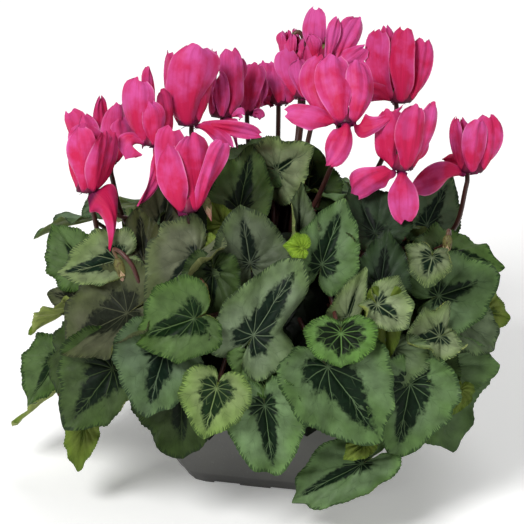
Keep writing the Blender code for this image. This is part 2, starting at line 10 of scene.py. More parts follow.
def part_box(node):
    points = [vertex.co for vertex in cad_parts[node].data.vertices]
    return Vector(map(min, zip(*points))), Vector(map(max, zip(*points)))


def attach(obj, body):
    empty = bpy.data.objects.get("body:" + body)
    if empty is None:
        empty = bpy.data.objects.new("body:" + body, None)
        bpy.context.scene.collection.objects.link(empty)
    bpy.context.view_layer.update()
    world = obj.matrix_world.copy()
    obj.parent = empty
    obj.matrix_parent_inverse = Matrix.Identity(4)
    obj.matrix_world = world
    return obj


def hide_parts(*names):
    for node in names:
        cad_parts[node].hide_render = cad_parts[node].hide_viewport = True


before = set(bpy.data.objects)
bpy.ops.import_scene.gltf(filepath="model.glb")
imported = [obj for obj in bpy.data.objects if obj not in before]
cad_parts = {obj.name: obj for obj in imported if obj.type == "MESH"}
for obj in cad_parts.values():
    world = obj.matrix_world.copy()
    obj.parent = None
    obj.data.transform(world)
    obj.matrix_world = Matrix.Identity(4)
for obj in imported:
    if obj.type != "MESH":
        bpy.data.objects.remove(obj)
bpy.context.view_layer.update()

# A florist's cyclamen in a square nursery pot. Lengths in the tables are millimetres and angles are
# degrees. -Y is the plant's best side, +X is to its right and the pot stands on z = 0.
mm = 0.001
weld = 1e-6  # points this close, in metres, become one
scene = bpy.context.scene
dice = random.Random(11)


def facing(bearing, elevation):
    # bearing is measured from -Y towards +X
    b, e = radians(bearing), radians(elevation)
    return Vector((sin(b) * cos(e), -cos(b) * cos(e), sin(e)))


def swing(turn, one, other):
    # the direction that lies this turn away from one, towards other
    return cos(turn) * one + sin(turn) * other


def squareTo(vector, axis):
    return (vector - vector.dot(axis) * axis).normalized()


def smoothStep(low, high, value):
    x = min(max((value - low) / (high - low), 0), 1)
    return x * x * (3 - 2 * x)


def blendCubic(x, p, m, q, n):
    # from p with the slope m to q with the slope n
    rising = 3 * x**2 - 2 * x**3
    return (1 - rising) * p + (x**3 - 2 * x**2 + x) * m + rising * q + (x**3 - x**2) * n


def curveThrough(stops, value):
    # smooth curve through (position, height) stops
    last = len(stops) - 1
    i = 0
    while i < last - 1 and value > stops[i + 1][0]:
        i += 1
    (a, p), (b, q) = stops[i], stops[i + 1]
    before, after = stops[max(i - 1, 0)], stops[min(i + 2, last)]
    m = (q - before[1]) / (b - before[0]) * (b - a)
    n = (after[1] - p) / (after[0] - a) * (b - a)
    return blendCubic(min(max((value - a) / (b - a), 0), 1), p, m, q, n)


def pathThrough(points, t):
    # place and heading at the share t along a smooth curve through the points
    last = len(points) - 1
    i = min(int(t * last), last - 1)
    x = t * last - i
    p, q = points[i], points[i + 1]
    span = (q - p).length
    m = (q - points[i - 1]).normalized() * span if i else q - p
    n = (points[i + 2] - p).normalized() * span if i + 2 <= last else q - p
    heading = (6 * x**2 - 6 * x) * (p - q) + (3 * x**2 - 4 * x + 1) * m + (3 * x**2 - 2 * x) * n
    return blendCubic(x, p, m, q, n), heading.normalized()


def growSheet(bm, columns, rows, shape, index):
    # a grid whose points are moved by shape(vert, u, v); its UV map is (u, v)
    uv = bm.loops.layers.uv.get("UVMap") or bm.loops.layers.uv.new("UVMap")
    made = bmesh.ops.create_grid(bm, x_segments=columns, y_segments=rows, size=1)["verts"]
    faces = list({face for vert in made for face in vert.link_faces})
    for face in faces:
        face.material_index = index
        face.smooth = True
        for loop in face.loops:
            loop[uv].uv = ((loop.vert.co.x + 1) / 2, (loop.vert.co.y + 1) / 2)
    for vert in made:
        shape(vert, (vert.co.x + 1) / 2, (vert.co.y + 1) / 2)
    return made, faces


def growClosed(bm, columns, rows, shape, index):
    # a sheet whose edges are joined wherever they meet
    made, _ = growSheet(bm, columns, rows, shape, index)
    bmesh.ops.remove_doubles(bm, verts=made, dist=weld)


def addBack(bm, faces, thickness, index):
    # the sheet's other side, which meets it at the rim
    bm.normal_update()
    copied = bmesh.ops.duplicate(bm, geom=faces)["geom"]
    backFaces = [item for item in copied if isinstance(item, bmesh.types.BMFace)]
    backVerts = [item for item in copied if isinstance(item, bmesh.types.BMVert)]
    rim = [vert for vert in backVerts if vert.is_boundary]
    inside = [vert for vert in backVerts if not vert.is_boundary]
    for vert in inside:
        vert.co -= thickness * mm * vert.normal
    bmesh.ops.reverse_faces(bm, faces=backFaces)
    for face in backFaces:
        face.material_index = index
    front = [vert for vert in {v for face in faces for v in face.verts} if vert.is_boundary]
    for edge in {edge for vert in front + rim for edge in vert.link_edges if edge.is_boundary}:
        edge.smooth = False  # the rim stays crisp
    bmesh.ops.remove_doubles(bm, verts=rim + front, dist=weld)


def growTube(bm, points, radii, columns, rows, index):
    # a closed tube along a curve; radii are (share, radius) stops
    side = Vector((0, 1, 0.2)).normalized()
    frames = []
    for row in range(rows + 1):
        place, heading = pathThrough(points, row / rows)
        side = squareTo(side, heading)
        frames.append((place, side, heading.cross(side)))

    def shape(vert, u, v):
        place, one, other = frames[round(v * rows)]
        vert.co = place + curveThrough(radii, v) * mm * swing(tau * u, one, other)

    growClosed(bm, columns, rows, shape, index)


def makeObject(name, bm, materials):
    mesh = bpy.data.meshes.new(name)
    bm.to_mesh(mesh)
    bm.free()
    for material in materials:
        mesh.materials.append(material)
    made = bpy.data.objects.new(name, mesh)
    scene.collection.objects.link(made)
    return made


def finishPiece(name, bm, materials, slotName, *nodes):
    piece = makeObject(name, bm, materials)
    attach(piece, "root")
    if nodes:
        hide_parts(*nodes)


def toLinear(code):
    channels = [int(code[i : i + 2], 16) / 255 for i in (1, 3, 5)]
    return [c / 12.92 if c <= 0.04045 else ((c + 0.055) / 1.055) ** 2.4 for c in channels] + [1]


def addNode(tree, kind, *inputs, **settings):
    # a kind in capitals is an operation of the Math node; inputs fill the open sockets in order, and
    # a setting is the node's own or names a socket
    if kind.isupper():
        kind, settings["operation"] = "Math", kind
    node = tree.nodes.new("ShaderNode" + kind)
    for name in [name for name in settings if hasattr(node, name)]:
        setattr(node, name, settings.pop(name))
    pairs = list(zip([socket for socket in node.inputs if socket.enabled], inputs))
    pairs += [(node.inputs[name.replace("_", " ")], value) for name, value in settings.items()]
    for socket, value in pairs:
        if isinstance(value, bpy.types.Node):
            value = next(output for output in value.outputs if output.enabled)
        if isinstance(value, bpy.types.NodeSocket):
            tree.links.new(value, socket)
        else:
            socket.default_value = value
    return node


def newMaterial(name):
    material = bpy.data.materials.new(name)
    material.use_nodes = True
    material.node_tree.nodes.clear()
    add = partial(addNode, material.node_tree)
    return material, add, add("TexCoord").outputs["Object"]


def finishMaterial(material, colour, layers, roughness, relief, **values):
    # a layer is a mask and the colour it lets through; relief is a height, its metres and strength
    add = partial(addNode, material.node_tree)
    for mask, code in layers:
        colour = add("Mix", mask, colour, toLinear(code), data_type="RGBA")
    height, depth, strength = relief
    bump = add("Bump", Height=height, Distance=depth, Strength=strength)
    shader = add("BsdfPrincipled", Base_Color=colour, Roughness=roughness, Normal=bump, **values)
    add("OutputMaterial", Surface=shader)
    return material


leaf = {
    "spokes": 128,
    "rings": 13,
    "sinus": 174,  # angle from the tip to the notch at the stalk
    "veinSpokes": 13,
    "veinArch": 0.2,
    "thickness": 0.55,
    "groove": 0.3,
    "quilt": 0.7,
    "lumps": 1.5,
    "tooth": 0.32,
    "ripple": 0.038,
    "rimWaves": ((7, 0.025), (12, 0.015)),  # how many go round, and how high
    "tint": (0.76, 1.16),  # leaves differ this much in brightness
    "stalk": ((0, 0), (0.02, 1.5), (0.6, 1.25), (0.98, 0.9), (1, 0)),
    "stalkTop": 118,  # stalks of low leaves may rise this high before they turn down
    # how far the blade reaches from its hub, by angle from its tip
    "outline": (
        (0, 1.02), (5, 0.965), (12, 0.89), (22, 0.815), (36, 0.745), (58, 0.685),
        (85, 0.65), (110, 0.62), (130, 0.575), (148, 0.49), (164, 0.36), (174, 0.24),
    ),
}

# band colour, heart colour and underside colour of each kind of leaf
leafLooks = {
    "lime": ("#7f9360", "#1a3016", "#8d9c46"),
    "lemon": ("#7f9a34", "#48611f", "#8d9c46"),
    "meadow": ("#5c7549", "#152b12", "#77893a"),
    "spring": ("#5f8049", "#12200f", "#77893a"),
    "fresh": ("#627a58", "#132715", "#75873e"),
    "moss": ("#445536", "#152316", "#66762f"),
    "sage": ("#5a6d56", "#122418", "#75854a"),
    "silver": ("#6c7c64", "#132418", "#828e4e"),
    "grey": ("#636f5b", "#17231a", "#75854a"),
    "stone": ("#787e69", "#28332a", "#7f8450"),
    "taupe": ("#5f634e", "#272c20", "#787c46"),
    "carob": ("#4b4c39", "#20241a", "#5f6236"),
    "young": ("#8c9a78", "#1c3022", "#8f9c50"),
    "olive": ("#3b4a2d", "#172415", "#586a2e"),
    # the deep kind is darkened as painted shade, for leaves in the hollow under the flowers
    "deep": ("#303f2f", "#121c13", "#4c5c34"),
    "plain": ("#5c7350", "#43593a", "#7c8c42"),
    "flap": ("#76863f", "#4f6428", "#8c9a4c"),
    # the dark kind is near-black all over: painted shade for the leaves that fill the hollows deep inside
    "dark": ("#141c11", "#0a1008", "#1a2212"),
}


def makeLeafSkin():
    # Living leaf under a thin waxy cuticle: satin, with a silvery band where air lies under the
    # skin, a dark heart with pale veins, and dark feathered teeth along the rim.
    material, add, place = newMaterial("waxyLeafSkin")
    around, share, _ = add("SeparateXYZ", add("UVMap", uv_map="UVMap")).outputs
    field = add("Attribute", attribute_name="leafField").outputs["Vector"]
    heartEdge, rimGap, radius = add("SeparateXYZ", field).outputs
    bandTint = add("Attribute", attribute_name="bandTint")
    heartTint = add("Attribute", attribute_name="heartTint")
    grit = add("TexNoise", place, Scale=420, Detail=3)  # flecks of 2.4 mm, coarse enough to show
    blotch = add("TexNoise", place, Scale=120, Detail=4)  # 8 mm blotches between the veins
    patch = add("TexNoise", place, Scale=42, Detail=2)  # 24 mm patches of a blade

    # dark heart with a slightly frayed edge
    fray = add("MULTIPLY_ADD", add("SUBTRACT", grit, 0.5), 0.3, heartEdge)
    heart = add("MapRange", fray, -0.06, 0.06, 1, 0)

    # teeth: fine strokes along the radius, over a hundred round the rim
    spot = add("CombineXYZ", add("MULTIPLY", around, 290), add("MULTIPLY", share, 4))
    spot = add("VectorMath", place, (40, 40, 40), spot, operation="MULTIPLY_ADD")
    stroke = add("TexNoise", spot, Scale=1, Detail=1)
    reachIn = add("MapRange", stroke, 0.35, 0.65, 0.2, 2.8)
    teeth = add("MapRange", add("SUBTRACT", rimGap, reachIn), -0.5, 0.4, 0.66, 0)
    nearRim = add("MapRange", rimGap, 0.3, 3.6, 1, 0)
    hair = add("MULTIPLY", add("MapRange", stroke, 0.36, 0.46, 0.5, 0), nearRim)

    # veins: a midrib and four curved pairs, with forks and side branches; lengths in millimetres
    sectors = leaf["spokes"] / leaf["veinSpokes"]
    wander = add("MULTIPLY", add("SUBTRACT", blotch, 0.5), share)
    arch = add("MULTIPLY_ADD", share, -leaf["veinArch"], 1)
    turn = add("MULTIPLY", add("DIVIDE", add("SUBTRACT", around, 0.5), arch), sectors)
    turn = add("MULTIPLY_ADD", wander, 0.7, turn)
    offset = add("PINGPONG", turn, 0.5)
    midrib = add("MapRange", add("ABSOLUTE", turn), 0.4, 0.5, 1, 0)
    arc = add("MULTIPLY", radius, radians(2 * leaf["sinus"] / sectors))
    reach = add("MULTIPLY", offset, arc)
    weight = add("MAXIMUM", add("MapRange", patch, 0.35, 0.65, 0.35, 0.85), midrib)
    early = add("MULTIPLY_ADD", midrib, -0.28, share)
    fade = add("MULTIPLY", add("MapRange", early, 0.3, 0.68, 1, 0), weight)
    main = add("MULTIPLY", add("MapRange", reach, 0.12, 0.42, 1, 0), fade)
    parting = add("MapRange", share, 0.38, 1, 0, 0.5)
    fork = add("MULTIPLY", add("ABSOLUTE", add("SUBTRACT", offset, parting)), arc)
    fork = add("MULTIPLY", add("MapRange", fork, 0.1, 0.4, 0.6, 0), fade)
    branch = add("PINGPONG", add("MULTIPLY_ADD", reach, -1.1, radius), 3.4)
    nearMain = add("MapRange", reach, 2, 5, 1, 0)
    branch = add("MULTIPLY", add("MapRange", branch, 0.08, 0.4, 0.55, 0), nearMain)
    branch = add("MULTIPLY", branch, add("MapRange", share, 0.22, 0.4))
    veins = add("MAXIMUM", add("MAXIMUM", main, fork), branch)

    # colours: the band is silvery by the heart, and warmer towards the rim and in patches
    shade = add("MapRange", blotch, 0.3, 0.7, 0.62, 1.14)
    band = add("VectorMath", bandTint, shade, operation="SCALE")
    warm = add("MapRange", share, 0.55, 1, 0, 0.95)
    warm = add("ADD", warm, add("MapRange", patch, 0.4, 0.62, -0.3, 0.5), use_clamp=True)
    greener = add("VectorMath", band, (0.84, 0.95, 0.66), operation="MULTIPLY")
    band = add("Mix", warm, band, greener, data_type="RGBA")
    band = add("Mix", add("MULTIPLY", veins, 0.45), band, heartTint, data_type="RGBA")
    murk = add("MapRange", grit, 0.3, 0.7, 0.45, 1)
    centre = add("VectorMath", heartTint, murk, operation="SCALE")
    centre = add("Mix", add("MULTIPLY", veins, 0.95), centre, bandTint, data_type="RGBA")
    colour = add("Mix", heart, band, centre, data_type="RGBA")
    colour = add("Mix", teeth, colour, heartTint, data_type="RGBA")
    tips = add("VectorMath", bandTint, (1.3, 1.4, 0.9), operation="MULTIPLY")
    colour = add("Mix", hair, colour, tips, data_type="RGBA")
    rough = add("MapRange", grit, 0.3, 0.7, 0.42, 0.6)
    relief = (add("MULTIPLY_ADD", veins, -0.6, grit), 0.0004, 0.6)
    return finishMaterial(material, colour, (), rough, relief, IOR=1.45, Specular_IOR_Level=0.12)


def makeLeafBack():
    # Underside of the leaf: paler, matt, with raised veins.
    material, add, place = newMaterial("mattLeafUnderside")
    around, *_ = add("SeparateXYZ", add("UVMap", uv_map="UVMap")).outputs
    tint = add("Attribute", attribute_name="backTint")
    grit = add("TexNoise", place, Scale=260, Detail=4)  # flecks of 4 mm
    turn = add("MULTIPLY", add("SUBTRACT", around, 0.5), leaf["spokes"] / leaf["veinSpokes"])
    veins = add("MapRange", add("PINGPONG", turn, 0.5), 0.02, 0.07, 1, 0)
    shade = add("MapRange", grit, 0.25, 0.75, 0.7, 1.15)
    colour = add("VectorMath", tint, shade, operation="SCALE")
    layers = ((add("MULTIPLY", veins, 0.35), "#b3b87c"),)
    relief = (add("MULTIPLY_ADD", veins, 0.8, grit), 0.0004, 0.5)
    return finishMaterial(material, colour, layers, 0.6, relief, IOR=1.4)


def makeStalkSkin():
    # Smooth fleshy stalk: dark red-brown, greener towards the blade, finely streaked lengthwise.
    material, add, place = newMaterial("fleshyStalkSkin")
    _, along, _ = add("SeparateXYZ", add("UVMap", uv_map="UVMap")).outputs
    drawn = add("Mapping", place, Scale=(1, 1, 0.15))
    streak = add("TexNoise", drawn, Scale=900, Detail=2)  # streaks 1.1 mm wide
    green = add("MapRange", along, 0.75, 1, 0, 0.55)
    colour = add("Mix", green, toLinear("#57302a"), toLinear("#7d7048"), data_type="RGBA")
    low = add("MapRange", along, 0.15, 0.85, 0.35, 1)
    shade = add("MULTIPLY", add("MapRange", streak, 0.3, 0.7, 0.7, 1.2), low)
    colour = add("VectorMath", colour, shade, operation="SCALE")
    return finishMaterial(material, colour, (), 0.42, (streak, 0.0002, 0.4), IOR=1.45)


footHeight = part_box("corm")[1].z + 0.3 * mm


def readStem(name):
    # centres of the rings of the CAD stem, from its foot on the crown up to its blade
    bm = bmesh.new()
    bm.from_mesh(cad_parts[name].data)
    bmesh.ops.remove_doubles(bm, verts=bm.verts, dist=1e-5)
    low = [vert for vert in bm.verts if abs(vert.co.z - footHeight) < 0.05 * mm]
    ring = {vert for vert in low if vert.co.xy.length < 20 * mm}
    count = len(ring)
    seen = set()
    centres = []
    while len(ring) == count:
        centres.append(sum((vert.co for vert in ring), Vector()) / count)
        seen |= ring
        ring = {edge.other_vert(vert) for vert in ring for edge in vert.link_edges} - seen
    bm.free()
    return centres


def bend(distance, turn, span):
    # how far ahead and how far up a point lies on a strip that turns this much over its span
    if abs(turn) < 1e-4:
        return distance, 0.0
    curve = turn / span
    return sin(curve * distance) / curve, (1 - cos(curve * distance)) / curve


def makeLeaf(name, row, materials, node=None, stem=None, spokes=None, rings=None):
    hub, tip, look, breadth, fold, droop, cup, wave, kind, heart, arm, *curls = row
    spokes = spokes or leaf["spokes"]
    rings = rings or leaf["rings"]
    hub = Vector(hub) * mm
    length = (Vector(tip) * mm - hub).length
    along = (Vector(tip) * mm - hub).normalized()
    face = squareTo(facing(*look), along)
    across = along.cross(face)
    if node:
        ceiling = max(hub.z + 6 * mm, leaf["stalkTop"] * mm)
        stem = [place for place in readStem(node)[:5] if place.z < ceiling] + [hub - 2.5 * mm * face]
    own = random.Random(name)
    phases = [own.uniform(0, 6.3) for _ in range(6)]
    sinus = radians(leaf["sinus"])
    veinStep = 2 * sinus * leaf["veinSpokes"] / leaf["spokes"]
    number = int(name[-2:])
    band, centre, under = (toLinear(code) for code in leafLooks[kind])
    tint = own.uniform(*leaf["tint"])
    band = [band[0] * tint, band[1] * tint, band[2] * tint * 0.9, 1]
    bm = bmesh.new()
    fieldLayer = bm.verts.layers.float_vector.new("leafField")
    tints = {"bandTint": band, "heartTint": centre, "backTint": under}
    tintLayers = [(bm.verts.layers.float_color.new(key), value) for key, value in tints.items()]

    def shape(vert, u, v):
        theta = (2 * u - 1) * sinus
        share = v**0.85
        outline = curveThrough(leaf["outline"], abs(degrees(theta)))
        waves = zip(leaf["rimWaves"], phases)
        outline *= 1 + sum(height * sin(times * theta + phase) for (times, height), phase in waves)
        reach = outline * length
        tooth = leaf["tooth"] * mm * (1 if round(u * spokes) % 2 else -1)
        far = reach + tooth * smoothStep(0.3, 1.2, abs(theta) + 0.4)
        radius = far * share
        lift = 0.0
        for middle, width, start, turn in curls:
            gap = abs((degrees(theta) - middle + 180) % 360 - 180) / width
            if gap < 1 and share > start:
                inner = start * far
                weight = cos(gap * pi / 2) ** 2
                run, up = bend(radius - inner, turn * weight, far - inner)
                radius = inner + run
                lift += up
        ahead = radius * cos(theta)
        aside = radius * sin(theta) * breadth
        forward, sink = bend(max(ahead, 0), droop, length)
        forward += min(ahead, 0)
        rise = abs(aside) * sin(radians(fold)) - sink + lift
        rise += cup * length * share**2 * outline
        rise += wave * length * share**2 * sin(5 * theta + 1.7 * number)
        ripple = sin(9 * theta + phases[2]) + 0.7 * sin(15 * theta + phases[3])
        rise += leaf["ripple"] * length * share**4 * ripple
        # grooves along the veins, and the skin that swells between them
        spoke = theta / veinStep / (1 - leaf["veinArch"] * share)
        between = spoke - round(spoke)
        nearVein = abs(between) * veinStep * radius / mm
        deep = leaf["groove"] * (1.6 if abs(spoke) < 0.5 else 0.6)
        deep *= exp(-(nearVein**2)) * smoothStep(0, 0.15, share)
        swell = sin(pi * abs(between)) * sin(pi * min(share * 1.05, 1))
        rise += (leaf["quilt"] * swell - deep) * mm
        lump = noise.noise(Vector((ahead, aside, phases[0] * 0.1)) * 70)
        rise += leaf["lumps"] * lump * smoothStep(0.1, 0.5, share) * mm
        aside *= cos(radians(fold))
        vert.co = hub + forward * along + aside * across + rise * face
        # the heart's edge: wide at the sides, with an arm that runs out to the tip and scallops
        arrow = (arm - heart) * exp(-((abs(theta) / 0.34) ** 1.3))
        back = 0.06 * cos(theta)
        scallop = 0.035 * cos(tau * theta / veinStep) * smoothStep(0.2, 0.6, abs(theta))
        lump = 0.035 * sin(3 * theta + phases[4]) + 0.02 * sin(17 * theta + phases[5])
        edge = heart + arrow + scallop - back + lump
        vert[fieldLayer] = (share - edge, (1 - share) * reach / mm, radius / mm)
        for layer, value in tintLayers:
            vert[layer] = value

    growClosed(bm, spokes, rings, shape, 0)
    addBack(bm, list(bm.faces), leaf["thickness"], 1)
    points = stem + [hub - 0.7 * mm * face]
    growTube(bm, points, leaf["stalk"], 8, 5 * len(points), 2)
    finishPiece(name + "_blade", bm, materials, "leaf_green", *([node] if node else []))


leafMaterials = (makeLeafSkin(), makeLeafBack(), makeStalkSkin())

# Each leaf: hub, tip, the way its face looks (bearing, elevation), breadth, fold, droop (radians),
# cup and wave; its look, the size of its dark heart and how far the heart's arm reaches; then the
# curls of its rim (middle, half width, start, turn in radians).
nodeLeaves = (
    ((-118, -14, 47), (-146, -16, 28), (-120, 50), 0.8, 12, 0.3, 0, 0.05, "flap", 0.3, 0.7),
    ((50, -94, 46), (6, -100, 23), (8, 46), 0.58, 8, 0.1, 0.1, 0.03, "fresh", 0.24, 0.8,
        (0, 42, 0.7, -1.7), (-80, 60, 0.75, 0.9), (80, 60, 0.75, 0.9)),
    ((-102, -66, 54), (-107, -72, 28), (-20, 12), 0.6, 14, 0.1, 0, 0.05, "flap", 0.2, 0.5),
    ((-49, -88, 90), (-47, -92, 48), (-12, 8), 0.95, 20, 0.1, 0.1, 0.05, "olive", 0.3, 0.8),
    ((90, -56, 76), (98, -62, 36), (38, 15), 1.1, 10, 0.1, 0.1, 0.05, "plain", 0.3, 0.7),
    ((-119, -28, 74), (-134, -36, 50), (-45, 22), 0.9, 12, 0.2, 0.1, 0.04, "meadow", 0.3, 0.8),
    ((-110, -24, 104), (-134, -16, 88), (-130, 35), 0.8, 20, 0.2, 0, 0.05, "flap", 0.3, 0.7),
    ((0, 78, 134), (4, 112, 112), (178, 55), 1.0, 10, 0.3, 0, 0.04, "sage", 0.45, 0.86),
    ((-62, 70, 122), (-88, 98, 102), (215, 45), 1.0, 12, 0.3, 0, 0.04, "fresh", 0.4, 0.86),
    ((62, 72, 122), (88, 98, 100), (145, 45), 1.0, 8, 0.3, 0, 0.05, "silver", 0.42, 0.86),
    ((60, -64, 140), (64, -48, 166), (8, 42), 0.8, 8, 0.1, 0, 0.05, "deep", 0.4, 0.8),
    ((87, 30, 128), (100, 46, 150), (20, 38), 0.9, 14, 0.1, 0.1, 0.05, "sage", 0.4, 0.86),
    ((-8, 25, 166), (9, 48, 176), (5, 72), 1.0, 10, 0.3, -0.1, 0.06, "fresh", 0.4, 0.86),
    ((-17, -5, 156), (-10, 24, 180), (-5, 50), 0.75, 14, 0.1, 0.1, 0.06, "moss", 0.42, 0.9),
    ((-59, 5, 140), (-54, 30, 158), (10, 45), 0.8, 24, 0.1, 0.1, 0.05, "carob", 0.4, 0.86),
    ((-69, -38, 142), (-72, -14, 162), (-15, 42), 0.75, 26, 0.1, 0, 0.05, "carob", 0.38, 0.86),
    ((-96, 28, 133), (-131, 20, 132), (190, 64), 0.9, 10, 0.2, 0, 0.05, "sage", 0.3, 0.8),
    ((-104, -12, 126), (-120, 4, 142), (-55, 35), 1.0, 14, 0.1, 0.1, 0.04, "meadow", 0.2, 0.6),
    ((-86, -72, 93), (-112, -82, 61), (-25, 30), 1.05, 20, 0.2, 0, 0.06, "moss", 0.48, 0.86,
        (-80, 50, 0.6, 1.3), (110, 40, 0.6, 1.0)),
    ((-84, -40, 143), (-116, -44, 135), (-18, 42), 0.85, 26, 0.1, 0.1, 0.05, "young", 0.45, 0.9,
        (-90, 50, 0.6, 1.0)),
    ((-78, -66, 124), (-119, -52, 97), (-22, 56), 0.95, 24, 0.2, 0, 0.05, "taupe", 0.45, 0.9),
    ((-57, -90, 114), (-68, -104, 80), (-14, 28), 1.15, 26, 0.2, 0, 0.06, "sage", 0.38, 0.86,
        (-110, 40, 0.6, 0.9), (150, 30, 0.6, -0.9)),
    ((-41, -56, 154), (-67, -80, 133), (-35, 34), 0.9, 34, 0.1, 0, 0.05, "stone", 0.2, 0.6,
        (-70, 55, 0.55, 1.6), (130, 40, 0.6, 1.0)),
    ((95, -18, 134), (130, -8, 126), (35, 72), 0.8, 10, 0.2, 0, 0.05, "meadow", 0.4, 0.86),
    ((102, -42, 108), (128, -38, 88), (45, 28), 0.9, 12, 0.2, 0, 0.05, "silver", 0.1, 0.4),
    ((95, -52, 84), (127, -45, 80), (32, 14), 0.9, 14, 0.2, 0, 0.05, "plain", 0.2, 0.4),
    ((92, -46, 124), (127, -32, 130), (22, 34), 1.0, 16, 0.2, 0, 0.03, "fresh", 0.3, 0.7,
        (-60, 40, 0.7, 0.9), (70, 50, 0.75, -0.8)),
    ((57, -36, 158), (45, -14, 174), (8, 68), 1.1, 8, 0, 0.25, 0.05, "deep", 0.3, 0.6,
        (-100, 60, 0.5, 1.2)),
    ((-11, -60, 152), (-16, -46, 181), (4, 42), 1.1, 16, 0.1, 0, 0.08, "grey", 0.22, 0.86),
    ((28, -58, 150), (40, -36, 178), (12, 42), 0.8, 18, 0.1, 0.1, 0.05, "fresh", 0.42, 0.9),
    ((76, -86, 91), (69, -94, 49), (14, 22), 0.98, 20, 0.1, 0, 0.06, "fresh", 0.46, 0.86),
    ((92, -70, 112), (72, -84, 114), (4, 46), 1.1, 14, 0.1, 0.2, 0.2, "young", 0.36, 0.8,
        (90, 45, 0.45, 1.7), (-100, 50, 0.5, 1.5), (0, 30, 0.7, 1.0)),
    ((-3, -106, 89), (2, -112, 46), (-4, 16), 0.85, 24, 0.1, 0, 0.04, "fresh", 0.34, 0.88),
    ((31, -99, 109), (61, -108, 67), (8, 26), 0.98, 22, 0.1, 0, 0.05, "fresh", 0.46, 0.88,
        (-115, 62, 0.3, -1.1)),
    ((-41, -94, 136), (-74, -92, 122), (-6, 36), 1.1, 22, 0.1, 0, 0.08, "meadow", 0.42, 0.8,
        (172, 55, 0.4, 1.7), (-80, 40, 0.7, 0.9)),
    ((38, -100, 130), (39, -116, 113), (4, 50), 1.35, 6, 0, 0.12, 0.02, "spring", 0.64, 0.66,
        (0, 175, 0.72, -1.0), (0, 40, 0.45, -2.2)),
    ((-9, -96, 127), (18, -80, 166), (6, 30), 0.75, 12, 0.1, 0, 0.1, "silver", 0.42, 0.84,
        (54, 42, 0.3, -2.5), (-90, 50, 0.7, 0.8)),
    ((-29, -112, 103), (-36, -120, 76), (-3, 20), 1.08, 14, 0.1, 0, 0.03, "lime", 0.48, 0.86),
)
for number, row in enumerate(nodeLeaves, 1):
    name = f"leaf_{number:02}"
    makeLeaf(name, row, leafMaterials, name)
print("leaves with a node of their own:", len(nodeLeaves))

# smaller leaves between them
smallLeaves = (
    ((-106, -20, 108), (-123, -15, 109), (-20, 40), 1.0, 12, 0.1, 0, 0.05, "taupe", 0.4, 0.8),
    ((-108, -45, 92), (-120, -50, 65), (-60, 20), 0.8, 14, 0.2, 0, 0.05, "olive", 0.3, 0.8),
    ((-11, -98, 115), (0, -106, 93), (10, 25), 0.8, 14, 0.1, 0, 0.05, "meadow", 0.3, 0.86),
    ((42, -74, 126), (51, -68, 153), (-16, 30), 0.62, 34, 0.1, 0, 0.08, "young", 0.2, 0.6,
        (100, 60, 0.4, 1.6), (-90, 50, 0.5, 1.1)),
    ((58, -80, 137), (75, -86, 126), (20, 44), 1.3, 12, 0.1, 0.2, 0.2, "young", 0.36, 0.7,
        (110, 50, 0.35, 1.8), (-110, 50, 0.4, 1.5)),
    ((88, -52, 151), (84, -60, 137), (-18, 38), 1.5, 20, 0.1, 0.1, 0.22, "young", 0.4, 0.7,
        (80, 60, 0.4, 1.6), (-100, 50, 0.4, 1.6)),
    ((118, -20, 101), (133, -15, 93), (60, 20), 1.0, 10, 0.1, 0, 0.05, "flap", 0.3, 0.7),
    ((91, -74, 94), (102, -84, 86), (20, 30), 1.2, 24, 0.1, 0.1, 0.16, "moss", 0.4, 0.8),
    ((4, 20, 167), (22, 10, 186), (15, 40), 1.1, 12, 0.1, 0, 0.05, "young", 0.2, 0.6),
    ((21, 25, 153), (24, 30, 177), (5, 30), 1.2, 8, 0.1, 0.2, 0.05, "olive", 0.5, 0.8,
        (-90, 60, 0.5, 1.4)),
    ((15, -46, 162), (16, -34, 188), (28, 40), 0.55, 34, 0.1, 0.1, 0.08, "grey", 0.2, 0.6,
        (-80, 60, 0.5, 1.5)),
    ((17, -68, 165), (7, -66, 166), (-10, 50), 1.2, 20, 0.2, 0.1, 0.1, "lemon", 0.2, 0.5),
    ((-25, -30, 160), (-32, -30, 173), (-20, 40), 1.0, 14, 0.1, 0, 0.05, "flap", 0.2, 0.5),
    ((67, -82, 110), (64, -92, 88), (10, 35), 1.3, 10, 0.1, 0, 0.05, "silver", 0.1, 0.3),
    ((-30, -50, 155), (-40, -56, 146), (-30, 30), 1.1, 14, 0.1, 0, 0.05, "flap", 0.2, 0.5),
    ((-95, 10, 150), (-104, 6, 146), (-20, 40), 1.0, 12, 0.1, 0, 0.05, "sage", 0.2, 0.5),
    ((104, -62, 74), (100, -68, 62), (20, 30), 0.9, 12, 0.1, 0, 0.05, "flap", 0.2, 0.5),
    ((51, -97, 60), (40, -103, 54), (0, 40), 0.9, 20, 0.1, 0, 0.05, "flap", 0.2, 0.5),
    ((62, -77, 134), (63, -86, 106), (2, 12), 0.6, 14, 0.1, 0, 0.05, "flap", 0.2, 0.5),
    ((-31, -68, 150), (-33, -80, 124), (-10, 25), 0.9, 14, 0.1, 0, 0.05, "moss", 0.3, 0.7),
)


def guessStem(hub, face):
    # a stalk from the crown that bows out and meets the blade from behind
    hub = Vector(hub) * mm
    flat = Vector((hub.x, hub.y, 0))
    foot = Vector((0, 0, footHeight)) + 0.12 * flat
    lift = Vector((0, 0, 0.35 * (hub - foot).length))
    middle = foot.lerp(hub, 0.5) + 0.4 * lift - 0.1 * flat
    return [foot, foot.lerp(middle, 0.5) + 0.15 * lift, middle, hub - 9 * mm * face]


for number, row in enumerate(smallLeaves, len(nodeLeaves) + 1):
    stem = guessStem(row[0], facing(*row[2]))
    makeLeaf(f"leaf_{number:02}", row, leafMaterials, stem=stem)
print("small leaves:", len(smallLeaves))
